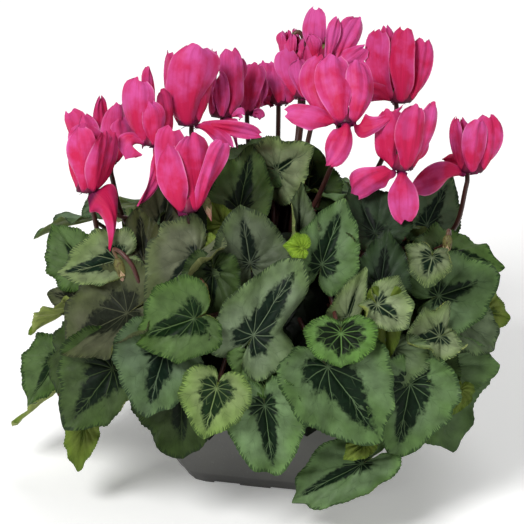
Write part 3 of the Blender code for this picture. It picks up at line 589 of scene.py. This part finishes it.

# leaves deep inside, at the sides and at the back, in tiers of a dome; the near-black leaves inside are
# painted shade for the hollows
tiers = {
    # name: middle height, reach from the axis (x, y), bearings from and to, count, elevation, length
    "inside_rim": (88, (84, 78), (-96, 96), 9, 20, 34),
    "inside_low": (104, (78, 72), (-180, 180), 14, 28, 36),
    "inside_mid": (122, (62, 56), (-170, 190), 11, 40, 40),
    "inside_top": (140, (34, 34), (-150, 210), 6, 60, 38),
    "side_left": (108, (86, 62), (-108, -50), 5, 26, 42),
    "side_right": (108, (86, 62), (50, 108), 5, 26, 42),
    "back_low": (88, (98, 84), (92, 268), 11, 14, 40),
    "back_mid": (108, (94, 78), (84, 276), 8, 30, 46),
    "back_high": (134, (72, 58), (100, 260), 6, 48, 44),
    "back_top": (154, (36, 36), (120, 240), 4, 66, 40),
}
tierLooks = {
    # the inside leaves are all of the dark kind, painted shade
    "inside": ("dark",),
    # the deep kind among the side leaves is painted shade too
    "side": ("moss", "deep", "sage"),
    "back": ("sage", "fresh", "silver", "meadow", "moss", "grey"),
}
tierDetail = {"inside": (48, 6), "side": (96, 10), "back": (96, 10)}  # spokes and rings
tierSpread = {"bearing": 7, "height": 5, "lean": 8, "turn": 30}
# the pot is turned this much; leaves behind it stay clear of its rim
potRim = {"half": 76.5, "corner": 100, "turn": -12, "clear": 6}


def rimReach(outward):
    # how far the pot's rim lies from its axis, that way
    turned = Matrix.Rotation(-radians(potRim["turn"]), 3, "Z") @ outward
    return min(potRim["half"] / max(abs(turned.x), abs(turned.y)), potRim["corner"])


def vary(what):
    return dice.uniform(-tierSpread[what], tierSpread[what])


for tier, (height, reach, (start, stop), count, elevation, length) in tiers.items():
    part = tier.split("_")[0]
    for i in range(count):
        bearing = start + (stop - start) * (i + 0.5) / count + vary("bearing")
        outward = facing(bearing, 0)
        hub = Vector((outward.x * reach[0], outward.y * reach[1], height + vary("height")))
        if tier == "back_low":
            hub.xy *= max(1, (rimReach(outward) + potRim["clear"]) / hub.xy.length)
        lean = elevation + vary("lean")
        size = length * dice.uniform(0.85, 1.1)
        tip = hub + size * facing(bearing + vary("turn"), lean - 90)
        kind = dice.choice(tierLooks[part])
        values = (dice.uniform(0.85, 1.1), dice.uniform(6, 16), 0.25, 0.04, 0.05)
        row = (hub, tip, (bearing, lean), *values, kind, dice.uniform(0.36, 0.48), 0.86)
        stem = guessStem(hub, facing(bearing, lean))
        makeLeaf(f"{tier}_{i + 1:02}", row, leafMaterials, None, stem, *tierDetail[part])
print("leaves inside, at the sides and at the back")

bloom = {
    "columns": 16,
    "rows": 22,
    "mouth": 5.0,
    "overlap": 1.14,
    "thickness": 0.4,
    "sepalThickness": 0.25,
    "scape": ((0, 1.5), (0.7, 1.3), (1, 1.05)),
    # breadth along a petal as a share of its full breadth
    "swell": {
        "plain": ((0, 0.34), (0.18, 0.34), (0.4, 0.56), (0.62, 0.9), (0.78, 1.0), (0.92, 0.76), (1, 0.24)),
        "round": ((0, 0.34), (0.18, 0.35), (0.4, 0.56), (0.64, 0.92), (0.82, 1.0), (0.94, 0.84), (1, 0.42)),
        "early": ((0, 0.4), (0.12, 0.7), (0.28, 1.0), (0.48, 0.74), (0.75, 0.34), (1, 0.08)),
    },
    "ruffle": 2.2,
    "flute": 0.35,
    "crease": 0.5,
    "jag": 0.9,
    # ring round the mouth and the tube above it: how wide and how high
    "tubeGirth": ((0, 2.8), (0.1, 4.2), (0.2, 5.3), (0.35, 5.6), (0.6, 4.4), (0.85, 2.8), (1, 0.05)),
    "tubeHeight": ((0, 3.0), (0.1, 0.6), (0.2, -0.4), (0.35, 1.0), (0.6, 4.5), (0.85, 8.2), (1, 9.0)),
    "waist": (5.5, 11, 42),  # from the mouth to where the scape stands steeply: behind, inwards, down
    # the scape's hook, as places behind the tube and up its axis
    "hook": ((5.5, -8), (6.5, 2), (6.8, 9), (4.2, 14), (1.2, 13)),
    "halfOpen": ("flower_15", 0.6),  # its mouth and tube have this share of the size
}


def makePetalSkin():
    # Thin petal with a velvety satin skin: deep rose, paler towards the edges, with fine lengthwise
    # veins, a dark purple base and a pale rim where light comes through. Dark streaks along the veins
    # are painted shade of creases, and painted shade darkens the lower part of each petal.
    material, add, place = newMaterial("satinPetal")
    across, along, _ = add("SeparateXYZ", add("UVMap", uv_map="UVMap")).outputs
    tone = add("Attribute", attribute_name="petalTone").outputs["Fac"]
    cloud = add("TexNoise", place, Scale=110, Detail=3)  # 9 mm clouds of colour
    side = add("ABSOLUTE", add("SUBTRACT", across, 0.5))
    edge = add("MapRange", side, 0.15, 0.5, 0, 0.8)
    end = add("MapRange", along, 0.4, 1, 0, 0.75)
    mottle = add("MapRange", cloud, 0.35, 0.65, -0.4, 0.35)
    pale = add("ADD", mottle, add("MAXIMUM", edge, end))
    pale = add("MULTIPLY_ADD", tone, -0.7, pale, use_clamp=True)
    spot = add("CombineXYZ", add("MULTIPLY", across, 16), add("MULTIPLY", along, 1.5))
    spot = add("VectorMath", place, (40, 40, 40), spot, operation="MULTIPLY_ADD")
    vein = add("TexNoise", spot, Scale=1, Detail=3)  # about 16 veins across a petal
    # painted shade: dark streaks along the veins stand for the shade in the petal's creases
    fold = add("MapRange", vein, 0.5, 0.75, 0, 0.38)
    # painted shade: the lower part of each petal is darker where the petals crowd together; each petal's own
    # random tone deepens it too
    deep = add("MapRange", along, 0.12, 0.6, 0.6, 0)
    deep = add("MULTIPLY_ADD", tone, 0.55, deep, use_clamp=True)
    base = add("MapRange", along, 0.1, 0.24, 1, 0)
    rim = add("MapRange", side, 0.455, 0.49, 0, 0.6)
    patchy = add("MapRange", cloud, 0.35, 0.6, 0.1, 1)
    rim = add("MULTIPLY", add("MULTIPLY", rim, along), patchy)
    layers = zip(
        (pale, fold, deep, base, rim),
        ("#d8569f", "#b5134c", "#b01046", "#661240", "#f3a0c6"),
    )
    relief = (vein, 0.0006, 0.6)
    rose = toLinear("#c92454")
    return finishMaterial(material, rose, layers, 0.5, relief, IOR=1.4, Specular_IOR_Level=0.22)


def makeMouthSkin():
    # Throat of the flower: the same skin, almost black-purple at the ring and deep rose above.
    material, add, place = newMaterial("darkPetalThroat")
    _, along, _ = add("SeparateXYZ", add("UVMap", uv_map="UVMap")).outputs
    cloud = add("TexNoise", place, Scale=500, Detail=2)  # 2 mm mottling
    fade = add("MapRange", along, 0.3, 1)
    rough = add("MapRange", cloud, 0.3, 0.7, 0.4, 0.6)
    layers = ((fade, "#b01850"),)
    return finishMaterial(material, toLinear("#4a0c2a"), layers, rough, (cloud, 0.0002, 0.4), IOR=1.4)


def makeSepalSkin():
    # Calyx: small green-brown leaves with darker freckles.
    material, add, place = newMaterial("freckledSepal")
    freckle = add("TexNoise", place, Scale=900, Detail=3)  # freckles of 1.1 mm
    spots = add("MapRange", freckle, 0.5, 0.65, 0, 0.7)
    layers = ((spots, "#46231c"),)
    return finishMaterial(material, toLinear("#6d6b3a"), layers, 0.55, (freckle, 0.0002, 0.4), IOR=1.4)


def growPetal(bm, hub, axes, petal, own):
    side, axis, front = axes
    rimTurn, via, tip, breadth, faceTurn, *swell = petal
    swell = bloom["swell"][swell[0] if swell else "plain"]
    out = swing(radians(rimTurn), front, side)
    normal = swing(radians(faceTurn), front, side)
    if tip[1] > 20:  # upright petals overlap
        breadth *= bloom["overlap"]
    start = hub + bloom["mouth"] * mm * out
    via, tip = (hub + (p[0] * side + p[1] * axis + p[2] * front) * mm for p in (via, tip))
    leave = start + 2.5 * mm * out - 1.2 * mm * axis
    hollow = own.uniform(0.14, 0.24)
    twist = own.uniform(-0.35, 0.35)
    phases = [own.uniform(0, 6.3) for _ in range(3)]
    skew = own.uniform(-0.3, 0.3)
    lag = own.uniform(-0.16, 0.16)
    nod = own.uniform(-0.22, 0.22)
    tone = max(own.uniform(-0.5, 0.5), 0) - (0.45 if hub.y > 25 * mm else 0)
    toneLayer = bm.verts.layers.float.get("petalTone") or bm.verts.layers.float.new("petalTone")

    def shape(vert, u, v):
        w = 1 - v
        place = w**3 * start + 3 * w * w * v * leave + 3 * w * v * v * via + v**3 * tip
        heading = 3 * w * w * (leave - start) + 6 * w * v * (via - leave) + 3 * v * v * (tip - via)
        heading.normalize()
        # the petal turns from the rim's own direction to the way its face looks
        outer = squareTo(out.lerp(normal, smoothStep(0.0, 0.5, v)), heading)
        wide = heading.cross(outer)
        outer, wide = swing(twist * v, outer, wide), swing(twist * v, wide, -outer)
        x = 2 * u - 1
        # the two halves are a little unlike each other
        half = curveThrough(swell, min(max(v + lag * x * sin(pi * v), 0), 1))
        half *= breadth / 2 * mm * (1 + 0.13 * sin(7.5 * v + phases[0] + (1.9 if x > 0 else 0)) * v)
        aside = half * (x + skew * (1 - x * x) * v) + nod * breadth * mm * v**4
        sag = hollow * breadth * mm * x * x * (0.5 + 0.6 * sin(pi * v))
        ruffle = bloom["ruffle"] * abs(x) ** 2.5 * v * sin(8 * v + phases[1] + 2.5 * x)
        ruffle += 0.7 * v * sin(4 * x + 5 * v + phases[2])
        flute = bloom["flute"] * sin(9 * x + phases[1]) * smoothStep(0.2, 0.6, v)
        crease = bloom["crease"] * exp(-(((x - skew) / 0.14) ** 2)) * v
        jag = sin(4 * x + phases[2]) + 0.2 * sin(9 * x + phases[0])
        jag *= bloom["jag"] * mm * v**6
        vert.co = place + aside * wide - (sag - (ruffle - crease - flute) * mm) * outer + jag * heading
        vert[toneLayer] = tone

    _, faces = growSheet(bm, bloom["columns"], bloom["rows"], shape, 0)
    addBack(bm, faces, bloom["thickness"], 0)


def growSepals(bm, rows, index, firstTurn, one, other, outline):
    # five small leaves round an axis; outline(x, v) gives a place on it, the way out and the way aside
    axis = one.cross(other)
    for i in range(5):
        radial = swing(radians(72 * i + firstTurn), one, other)
        wide = axis.cross(radial)

        def shape(vert, u, v):
            place, outside, aside = outline(2 * u - 1, v)
            vert.co = place + outside * radial + aside * wide

        _, faces = growSheet(bm, 4, rows, shape, index)
        addBack(bm, faces, bloom["sepalThickness"], index)


def makeFlower(name, hub, lean, petals, materials):
    hub = Vector(hub) * mm
    axis = facing(*lean)
    front = squareTo(facing(0, 0), axis)
    side = axis.cross(front)
    own = random.Random(name)
    halfOpen, share = bloom["halfOpen"]
    scale = share * mm if name == halfOpen else mm
    bm = bmesh.new()
    for petal in petals:
        growPetal(bm, hub, (side, axis, front), petal, own)

    def tube(vert, u, v):
        turn = tau * u
        radius = curveThrough(bloom["tubeGirth"], v) * scale * (1 + 0.07 * cos(5 * turn))
        height = curveThrough(bloom["tubeHeight"], v) * scale
        vert.co = hub + radius * swing(turn, front, side) + height * axis

    def sepal(x, v):
        half = 1.5 * sin(pi * min(v + 0.25, 1)) * x
        outside = 1.0 + 3.4 * sin(1.2 * v)
        return hub + (9.3 - 4.2 * v * v) * scale * axis, outside * scale, half * scale

    growClosed(bm, 30, 14, tube, 1)
    growSepals(bm, 5, 2, 36, front, side, sepal)

    # the scape stands steeply under its flower, and its hook behind the tube
    stem = readStem(name)
    behind = squareTo(Vector((stem[-2].x - hub.x, stem[-2].y - hub.y + 6 * mm, 0)), axis)
    hook = [hub + (back * behind + up * axis) * mm for back, up in bloom["hook"]]
    inward = Vector((-hub.x, -hub.y, 0)).normalized()
    back, inside, down = bloom["waist"]
    waist = hub + (back * behind + inside * inward - Vector((0, 0, down))) * mm
    rising = stem[1].lerp(waist, 0.55) + Vector((0, 0, 9 * mm))
    points = stem[:2] + [rising, waist] + hook + [hub + 9 * scale * axis]
    growTube(bm, points, bloom["scape"], 10, 6 * len(points), 3)
    finishPiece(name + "_bloom", bm, materials, "petal_magenta", name)


flowerMaterials = (makePetalSkin(), makeMouthSkin(), makeSepalSkin(), makeStalkSkin())
back14, back45 = (180, 76), (180, 50)

# Each flower: mouth, lean of its axis, and its petals. A petal is the turn at which it leaves the
# mouth (0 is the front, 90 the right), two places along it (right, up the axis, forwards), its
# breadth, the turn that its face has, and the name of its outline where it isn't the plain one.
flowers = (
    ((-100, -25, 178), back14,
        (-20, (-2, 20, 8), (-5, 36, 4), 16, -15, "round"), (150, (2, 22, 0), (3, 37, 0), 18, 0, "round"),
        (40, (9, 18, 9), (9, 34, 5), 13, 40, "round"), (90, (14, 12, 0), (15, 31, -4), 16, 50, "round"),
        (-110, (-9, 14, -4), (-7, 28, -6), 12, -60), (50, (20, -4, 8), (16, -31, 10), 20, 20, "early")),
    ((-90, 12, 176), back14,
        (-80, (-14, 12, 0), (-18, 29, -2), 12, -20, "round"), (-30, (-9, 14, 4), (-10, 28, 3), 10, 0),
        (150, (-4, 20, -4), (-4, 36, -4), 8, 0), (60, (5, 16, 2), (4, 33, 0), 14, 20, "round"),
        (80, (12, 12, 2), (10, 25, 1), 12, 40, "round")),
    ((-65, -4, 196), back14,
        (-60, (-10, 22, 4), (-5, 36, 2), 17, -5, "round"), (-160, (-1, 24, -5), (0, 42, -3), 6, 20),
        (80, (11, 12, 0), (7, 30, -2), 13, 40, "round"), (10, (3, 12, 7), (0, 24, 4), 12, 0),
        (-70, (-11, 9, 8), (-15, -6, 6), 16, -10, "round"), (20, (11, -12, 8), (-8, -32, 8), 8, 20)),
    ((-45, 12, 200), back14,
        (-90, (-12, 20, -1), (-10, 40, -2), 9, -25), (0, (0, 22, 10), (4, 45, 3), 25, 0, "round"),
        (-150, (-6, 22, 0), (-5, 42, 0), 12, -10), (90, (12, 20, 0), (9, 38, -1), 12, 40),
        (90, (20, 1, 4), (40, -5, 2), 10, 15), (60, (14, 0, 3), (24, -12, 3), 9, 20)),
    ((-27, 34, 194), back14,
        (-60, (-5, 18, 2), (-5, 37, 0), 6, -30), (60, (7, 18, 1), (4, 37, 0), 13, 10, "round"),
        (90, (11, 14, -3), (9, 30, -4), 10, 40), (0, (0, 12, 6), (0, 25, 3), 9, -20),
        (-90, (-6, 8, 1), (-6, 20, 1), 9, -60), (40, (6, -6, 7), (8, -17, 6), 10, 10, "early"),
        (70, (8, 3, 3), (12, 1, 4), 7, 20)),
    ((-45, -48, 178), back14,
        (-120, (-15, 24, -3), (-7, 44, -4), 16, -15, "round"), (-30, (-10, 12, 8), (-7, 37, 5), 15, -10),
        (60, (4, 22, 3), (1, 42, 0), 18, 10, "round"), (70, (10, 16, 6), (19, 38, 1), 13, 25, "round"),
        (180, (4, 18, -8), (4, 34, -6), 14, 180)),
    ((-13, 56, 185), back14,
        (0, (0, 14, 3), (3, 28, 0), 13, 0, "round"), (-80, (-8, 10, 5), (-12, 12, 5), 11, 0, "round"),
        (90, (8, 10, 0), (8, 22, -2), 10, 30), (30, (7, 3, 6), (6, -2, 7), 7, 0),
        (180, (0, 12, -6), (0, 22, -5), 10, 180)),
    ((5, 74, 182), back14,
        (-70, (-9, 10, 2), (-10, 23, 0), 12, -20, "round"), (0, (-1, 12, 4), (-2, 22, 2), 11, 0),
        (60, (10, 7, 7), (9, 12, 7), 11, 20, "round"), (110, (8, 12, -2), (6, 21, -3), 10, 30),
        (-50, (-7, 2, 6), (-9, 2, 7), 8, 0)),
    ((31, 32, 229), back14,
        (-80, (-8, 14, 2), (-6, 29, 0), 13, -10, "round"), (0, (3, 12, 5), (6, 24, 2), 7, 10),
        (70, (8, 9, 0), (17, 24, 0), 12, 10, "round"), (60, (10, -1, 5), (22, 6, 3), 11, 0, "round"),
        (-90, (-7, 6, 3), (-10, 15, 2), 9, -20)),
    ((41, -18, 215), back45,
        (-80, (-24, 16, 2), (-16, 39, 0), 15, -15, "round"),
        (-20, (-6, 18, 9), (-7, 38, 3), 18, -8, "round"), (40, (12, 16, 4), (8, 35, 1), 14, 20, "round"),
        (-80, (-15, 7, 7), (-32, 3, 3), 16, 0, "round"), (0, (2, -8, 10), (-12, -22, 6), 16, 5),
        (80, (18, -4, 8), (31, 10, 2), 14, 5, "early")),
    ((72, 24, 208), back14,
        (-80, (-18, 16, 1), (-15, 40, 0), 13, -15, "round"), (-150, (-6, 20, -3), (-9, 41, -3), 9, 0),
        (0, (-2, 18, 7), (2, 41, 3), 14, 5, "round"), (80, (9, 12, 1), (13, 34, 0), 11, 20, "round"),
        (-80, (-13, 8, 3), (-23, 5, 2), 14, 0)),
    ((72, -24, 191), back14,
        (-80, (-10, 14, 4), (-11, 33, 1), 14, -10, "round"), (20, (3, 18, 8), (7, 36, 3), 15, 5, "round"),
        (80, (14, 18, 0), (17, 36, -3), 12, 25, "round"), (110, (12, 10, -3), (12, 22, -4), 10, 50),
        (-70, (-12, 0, 8), (-28, -12, 3), 18, 0, "round"), (0, (-2, -6, 12), (4, -27, 9), 16, 0, "round")),
    ((111, 6, 174), back14,
        (-90, (-10, 12, 0), (-10, 30, 0), 8, -20), (-150, (-4, 14, -4), (-5, 29, -3), 7, 0),
        (0, (1, 12, 7), (3, 29, 3), 13, 5, "round"), (80, (12, 14, -1), (11, 31, -1), 12, 30, "round"),
        (-70, (-14, 3, 6), (-31, -11, 3), 14, 0, "round"), (-100, (-8, 5, -3), (-16, 5, -4), 9, -10)),
    ((19, 46, 200), back14,
        (-70, (-10, 12, 0), (-9, 26, 0), 13, -10, "round"), (60, (4, 14, 0), (4, 28, -1), 10, 10, "round"),
        (0, (-4, 12, 5), (-4, 22, 4), 10, 0), (180, (0, 12, -6), (0, 24, -5), 12, 180)),
    ((12, 62, 216), back14,
        (-70, (-7, 7, 1), (-5, 14, 0), 7, -40), (0, (-1, 8, 4), (-1, 13, 1), 7, 0),
        (70, (8, 7, 1), (7, 13, 0), 7, 40), (150, (4, 8, -4), (3, 15, -2), 7, 150),
        (-150, (-4, 8, -4), (-2, 14, -3), 7, -150)),
)
for number, (hub, lean, *petals) in enumerate(flowers, 1):
    makeFlower(f"flower_{number:02}", hub, lean, petals, flowerMaterials)
print("flowers:", len(flowers))

bud = {
    "scape": ((0, 1.4), (0.7, 1.2), (1, 1.0)),
    "girth": ((0, 0.3), (0.12, 0.85), (0.35, 1.0), (0.6, 0.72), (0.85, 0.32), (1, 0.03)),
    "furrows": 5,
    "furrowDepth": 0.12,
    "twist": 1.6,
    "petalStart": 0.16,  # the rolled petals start at this share of the way from the hook to the tip
}

# each bud: top of the hook, tip, radius, and the way its scape rises where it isn't the solid's
buds = (
    ((-84, -52, 154), (-77, -58, 132), 2.9, (-46, -38, 114), (-69, -60, 137), (-76, -58, 151)),
    ((-36, -40, 184), (-32, -42, 168), 2.4),
    ((-37, -76, 150), (-34, -80, 138), 2.2),
    ((97, -34, 158), (96, -38, 140), 2.5),
)


def makeBudSkin():
    # Rolled petals of a bud: satin, cream with a blush of pink towards the tip and darker seams.
    material, add, place = newMaterial("rolledBudPetals")
    around, along, _ = add("SeparateXYZ", add("UVMap", uv_map="UVMap")).outputs
    cloud = add("TexNoise", place, Scale=500, Detail=2)  # 2 mm mottling
    blush = add("MapRange", along, 0.35, 0.9)
    turn = add("MULTIPLY_ADD", along, 1.3, add("MULTIPLY", around, 5))
    stripe = add("MapRange", add("PINGPONG", turn, 0.5), 0, 0.12, 0.6, 0)
    rough = add("MapRange", cloud, 0.3, 0.7, 0.35, 0.55)
    layers = (blush, "#e0908c"), (stripe, "#8a4038")
    return finishMaterial(material, toLinear("#c9b48c"), layers, rough, (cloud, 0.0002, 0.4), IOR=1.4)


def makeBud(name, row, materials):
    top, tip, radius, *rises = row
    top = Vector(top) * mm
    drop = Vector(tip) * mm - top
    axis = drop.normalized()
    one = squareTo(Vector((0, 1, 0)), axis)
    other = axis.cross(one)
    bm = bmesh.new()

    def body(vert, u, v):
        turn = tau * u
        fold = abs(cos(bud["furrows"] / 2 * (turn + bud["twist"] * v)))
        girth = curveThrough(bud["girth"], v) * (1 - bud["furrowDepth"] * fold)
        along = bud["petalStart"] + (1 - bud["petalStart"]) * v
        vert.co = top + along * drop + girth * radius * mm * swing(turn, one, other)

    def sepal(x, v):
        outside = 1.06 * curveThrough(bud["girth"], 0.03 + 0.4 * v) - 0.2 * x * x
        half = 0.75 * sin(pi * min(v * 0.8 + 0.2, 1)) * x
        return top + (0.13 + 0.42 * v) * drop, outside * radius * mm, half * radius * mm

    growClosed(bm, 30, 22, body, 0)
    growSepals(bm, 8, 1, 0, one, other, sepal)
    stem = readStem(name)
    if rises:
        stem = stem[:2] + [Vector(place) * mm for place in rises] + [top - 0.08 * drop]
    growTube(bm, stem + [top + 0.2 * drop], bud["scape"], 10, 60, 2)
    finishPiece(name + "_body", bm, materials, "bud_cream", name)


budMaterials = (makeBudSkin(), makeSepalSkin(), makeStalkSkin())
for number, row in enumerate(buds, 1):
    makeBud(f"bud_{number:02}", row, budMaterials)
print("buds:", len(buds))

pot = {
    "bevel": 0.35,
    "sharp": 24,  # edges with a bigger angle than this get rounded
}


def makePotPlastic():
    # Moulded polypropylene with recycled black: dark warm grey, eggshell gloss, scuffed and dusty; the band
    # round the foot is darkened with painted shade.
    material, add, place = newMaterial("mouldedPolypropylene")
    grain = add("TexNoise", place, Scale=1600, Detail=2)  # 0.6 mm mould grain, coarser than the real one
    dust = add("TexNoise", place, Scale=45, Detail=5)  # 22 mm patches of dust
    dusty = add("MapRange", dust, 0.42, 0.75, 0, 0.35)
    drawn = add("Mapping", place, Scale=(1, 1, 0.06))
    scuff = add("TexNoise", drawn, Scale=700, Detail=3)  # scuffs 1.4 mm wide that run down the wall
    mark = add("MapRange", scuff, 0.62, 0.74, 0, 0.25)
    height = add("SeparateXYZ", place).outputs[2]
    # painted shade: the bottom 8 mm of the wall, round the foot, is nearly black
    foot = add("MapRange", height, 0.0072, 0.0082, 0.6, 0)
    rough = add("MapRange", dust, 0.3, 0.7, 0.34, 0.52)
    layers = (dusty, "#64635d"), (mark, "#7c7c78"), (foot, "#262523")
    return finishMaterial(material, toLinear("#4b4b48"), layers, rough, (grain, 0.0001, 0.35), IOR=1.49)


def makePot():
    # the solid already has the folded rim, foot notches and drain holes: its edges get rounded
    bm = bmesh.new()
    bm.from_mesh(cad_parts["pot"].data)
    bmesh.ops.remove_doubles(bm, verts=bm.verts, dist=weld)
    bmesh.ops.dissolve_limit(bm, angle_limit=0.002, verts=bm.verts, edges=bm.edges)
    sharp = radians(pot["sharp"])
    bmesh.ops.bevel(
        bm,
        geom=[edge for edge in bm.edges if edge.calc_face_angle(0) > sharp],
        offset=pot["bevel"] * mm,
        segments=2,
        profile=0.5,
        affect="EDGES",
        clamp_overlap=True,
        material=-1,
    )
    for face in bm.faces:
        face.smooth = True
    for edge in bm.edges:
        edge.smooth = edge.calc_face_angle(0) < 1.5 * sharp
    finishPiece("pot_shell", bm, (makePotPlastic(),), "pot_plastic", "pot")


makePot()
print("pot")

soil = {
    "top": 82,
    "bottom": 2.2,
    "edge": 0.4,  # the side ends this far under the top
    "inset": 2.6,
    "lumps": 1.6,
    "crumbs": 260,
    "spread": 58,  # crumbs lie this far from the middle at most
    "arcShare": 0.4,  # corner arcs take this share of each quarter of the way round
    "wall": ((0, 40), (8, 44), (45, 62), (92, 71.5)),  # height and half width of the pot's inside
    "base": (41, 10),  # half width and corner radius of the underside
    "side": 13,  # corner radius
    "surface": (69.4, 15),  # half width and corner radius of the top
}


def squarePoint(u, half, radius):
    # point on a flat square with round corners; u runs once round it
    quarter, place = divmod(4 * u, 1)
    arc = soil["arcShare"]
    angle = min(place / arc, 1) * pi / 2
    side = max(place - arc, 0) / (1 - arc) * 2 * (half - radius)
    x = half - radius + radius * cos(angle) - side
    y = half - radius + radius * sin(angle)
    turned = Matrix.Rotation(quarter * pi / 2 + radians(potRim["turn"]), 3, "Z")
    return turned @ Vector((x, y, 0)) * mm


def makePeat():
    # Potting soil: crumbly dark peat with paler fibres.
    material, add, place = newMaterial("crumblyPeat")
    crumb = add("TexNoise", place, Scale=380, Detail=6)  # crumbs of 2.6 mm
    fibre = add("TexNoise", place, Scale=1400, Detail=2)  # fibres of 0.7 mm
    tone = add("MapRange", crumb, 0.3, 0.7)
    pale = add("MapRange", fibre, 0.66, 0.74, 0, 0.6)
    layers = (tone, "#3c2c20"), (pale, "#7a6448")
    return finishMaterial(material, toLinear("#17100b"), layers, 0.92, (crumb, 0.0012, 0.8), IOR=1.4)


def makeSoil():
    top, bottom, inset = soil["top"], soil["bottom"], soil["inset"]
    bm = bmesh.new()

    def shape(vert, u, v):
        # from the underside's middle, up the side and over the top to its middle
        if v < 0.25:
            share, height, (half, radius) = v / 0.25, bottom, soil["base"]
        elif v < 0.5:
            share, height = 1, bottom + (top - soil["edge"] - bottom) * (v - 0.25) / 0.25
            half, radius = curveThrough(soil["wall"], height), soil["side"]
        else:
            share, height, (half, radius) = 1 - (v - 0.5) / 0.5, top, soil["surface"]
        spot = squarePoint(u, half - inset, radius) * share
        lump = noise.fractal(spot * 90, 0.9, 2.1, 4)
        if v >= 0.5:
            height += soil["lumps"] * lump * smoothStep(0, 0.1, 1 - share)
        vert.co = Vector((spot.x, spot.y, height * mm))

    growClosed(bm, 120, 48, shape, 0)
    bmesh.ops.recalc_face_normals(bm, faces=bm.faces)
    far = soil["spread"]
    for _ in range(soil["crumbs"]):
        size = dice.uniform(0.6, 2.0) * mm
        spot = Vector((dice.uniform(-far, far), dice.uniform(-far, far), top + dice.uniform(-0.3, 1.2))) * mm
        turn = Matrix.Rotation(dice.uniform(0, 6), 4, "X") @ Matrix.Rotation(dice.uniform(0, 6), 4, "Z")
        stretch = Matrix.Diagonal((1, dice.uniform(0.6, 1), dice.uniform(0.5, 0.9), 1))
        place = Matrix.Translation(spot) @ turn @ stretch
        bmesh.ops.create_icosphere(bm, subdivisions=1, radius=size, matrix=place)
    finishPiece("soil_crumb", bm, (makePeat(),), "potting_soil", "soil")


makeSoil()
print("soil")

corm = {
    # share of the way from the underside's middle to the crown's, and there
    "radius": ((0, 0), (0.16, 13), (0.34, 22), (0.54, 25), (0.74, 23), (0.88, 18), (1, 0)),
    "height": ((0, 60), (0.16, 61), (0.34, 66), (0.54, 73), (0.74, 79), (0.88, 83.6), (1, 84)),
    "lumps": 0.03,
}


def makeBark():
    # Corky skin of the corm: rough, cracked brown.
    material, add, place = newMaterial("corkyCormBark")
    cork = add("TexNoise", place, Scale=320, Detail=6)  # cork grain of 3 mm
    crack = add("TexVoronoi", place, Scale=260, feature="DISTANCE_TO_EDGE")  # cracks 4 mm apart
    tone = add("MapRange", cork, 0.3, 0.7)
    line = add("MapRange", crack, 0, 0.06, 0.7, 0)
    layers = (tone, "#70523a"), (line, "#1d120c")
    return finishMaterial(material, toLinear("#3a261b"), layers, 0.85, (cork, 0.001, 0.7), IOR=1.4)


def makeCorm():
    bm = bmesh.new()

    def shape(vert, u, v):
        radius = curveThrough(corm["radius"], v)
        spot = radius * swing(tau * u, Vector((1, 0, 0)), Vector((0, 1, 0)))
        spot.z = curveThrough(corm["height"], v)
        lump = noise.fractal(spot * 0.12, 0.8, 2.1, 4) * smoothStep(0, 8, radius)
        spot.xy *= 1 + corm["lumps"] * lump
        vert.co = spot * mm

    growClosed(bm, 64, 28, shape, 0)
    bmesh.ops.recalc_face_normals(bm, faces=bm.faces)
    finishPiece("corm_bark_skin", bm, (makeBark(),), "corm_bark", "corm")


makeCorm()
print("corm")

studio = {
    "floor": "#fdfdfc",
    "glow": 0.23,
    "sky": 0.14,
    "lamps": (
        # place in metres, size, watts
        ((-1.0, -1.5, 2.0), 0.8, 54),
        ((1.5, -1.2, 1.5), 1.2, 9),
        ((0.2, 1.3, 1.9), 1.2, 16),
    ),
    "lampAim": (0, 0, 0.12),
    "elevation": 28,
    "distance": 4.0,
    "viewWidth": 0.2934,
    "aim": (-4.5, 50, 94),
}


def makeStudio():
    # matt white paper that glows a little, so that it stays pale under soft light
    material, add, _ = newMaterial("mattBackdropPaper")
    white = (1, 1, 1, 1)
    glow = {"Emission_Color": white, "Emission_Strength": studio["glow"]}
    paper = add("BsdfPrincipled", Base_Color=toLinear(studio["floor"]), Roughness=0.9, **glow)
    add("OutputMaterial", Surface=paper)
    bm = bmesh.new()
    bmesh.ops.create_grid(bm, x_segments=1, y_segments=1, size=6)
    makeObject("floor", bm, (material,))
    world = bpy.data.worlds.new("softSky")
    world.use_nodes = True
    world.node_tree.nodes["Background"].inputs["Color"].default_value = white
    world.node_tree.nodes["Background"].inputs["Strength"].default_value = studio["sky"]
    scene.world = world
    for number, (place, size, watts) in enumerate(studio["lamps"], 1):
        light = bpy.data.lights.new(f"softbox_{number}", "AREA")
        light.size = size
        light.energy = watts
        lamp = bpy.data.objects.new(light.name, light)
        lamp.location = place
        toward = Vector(studio["lampAim"]) - Vector(place)
        lamp.rotation_euler = toward.to_track_quat("-Z", "Y").to_euler()
        scene.collection.objects.link(lamp)
    scene.view_settings.view_transform = "Standard"


def makeCamera():
    data = bpy.data.cameras.new("camera")
    data.sensor_width = 36
    data.lens = data.sensor_width * studio["distance"] / studio["viewWidth"]
    data.clip_end = 20
    camera = bpy.data.objects.new("camera", data)
    toward = facing(0, studio["elevation"])
    camera.location = Vector(studio["aim"]) * mm + studio["distance"] * toward
    camera.rotation_euler = (-toward).to_track_quat("-Z", "Y").to_euler()
    scene.collection.objects.link(camera)
    bpy.context.scene.camera = camera


makeStudio()
makeCamera()
print("studio ready")
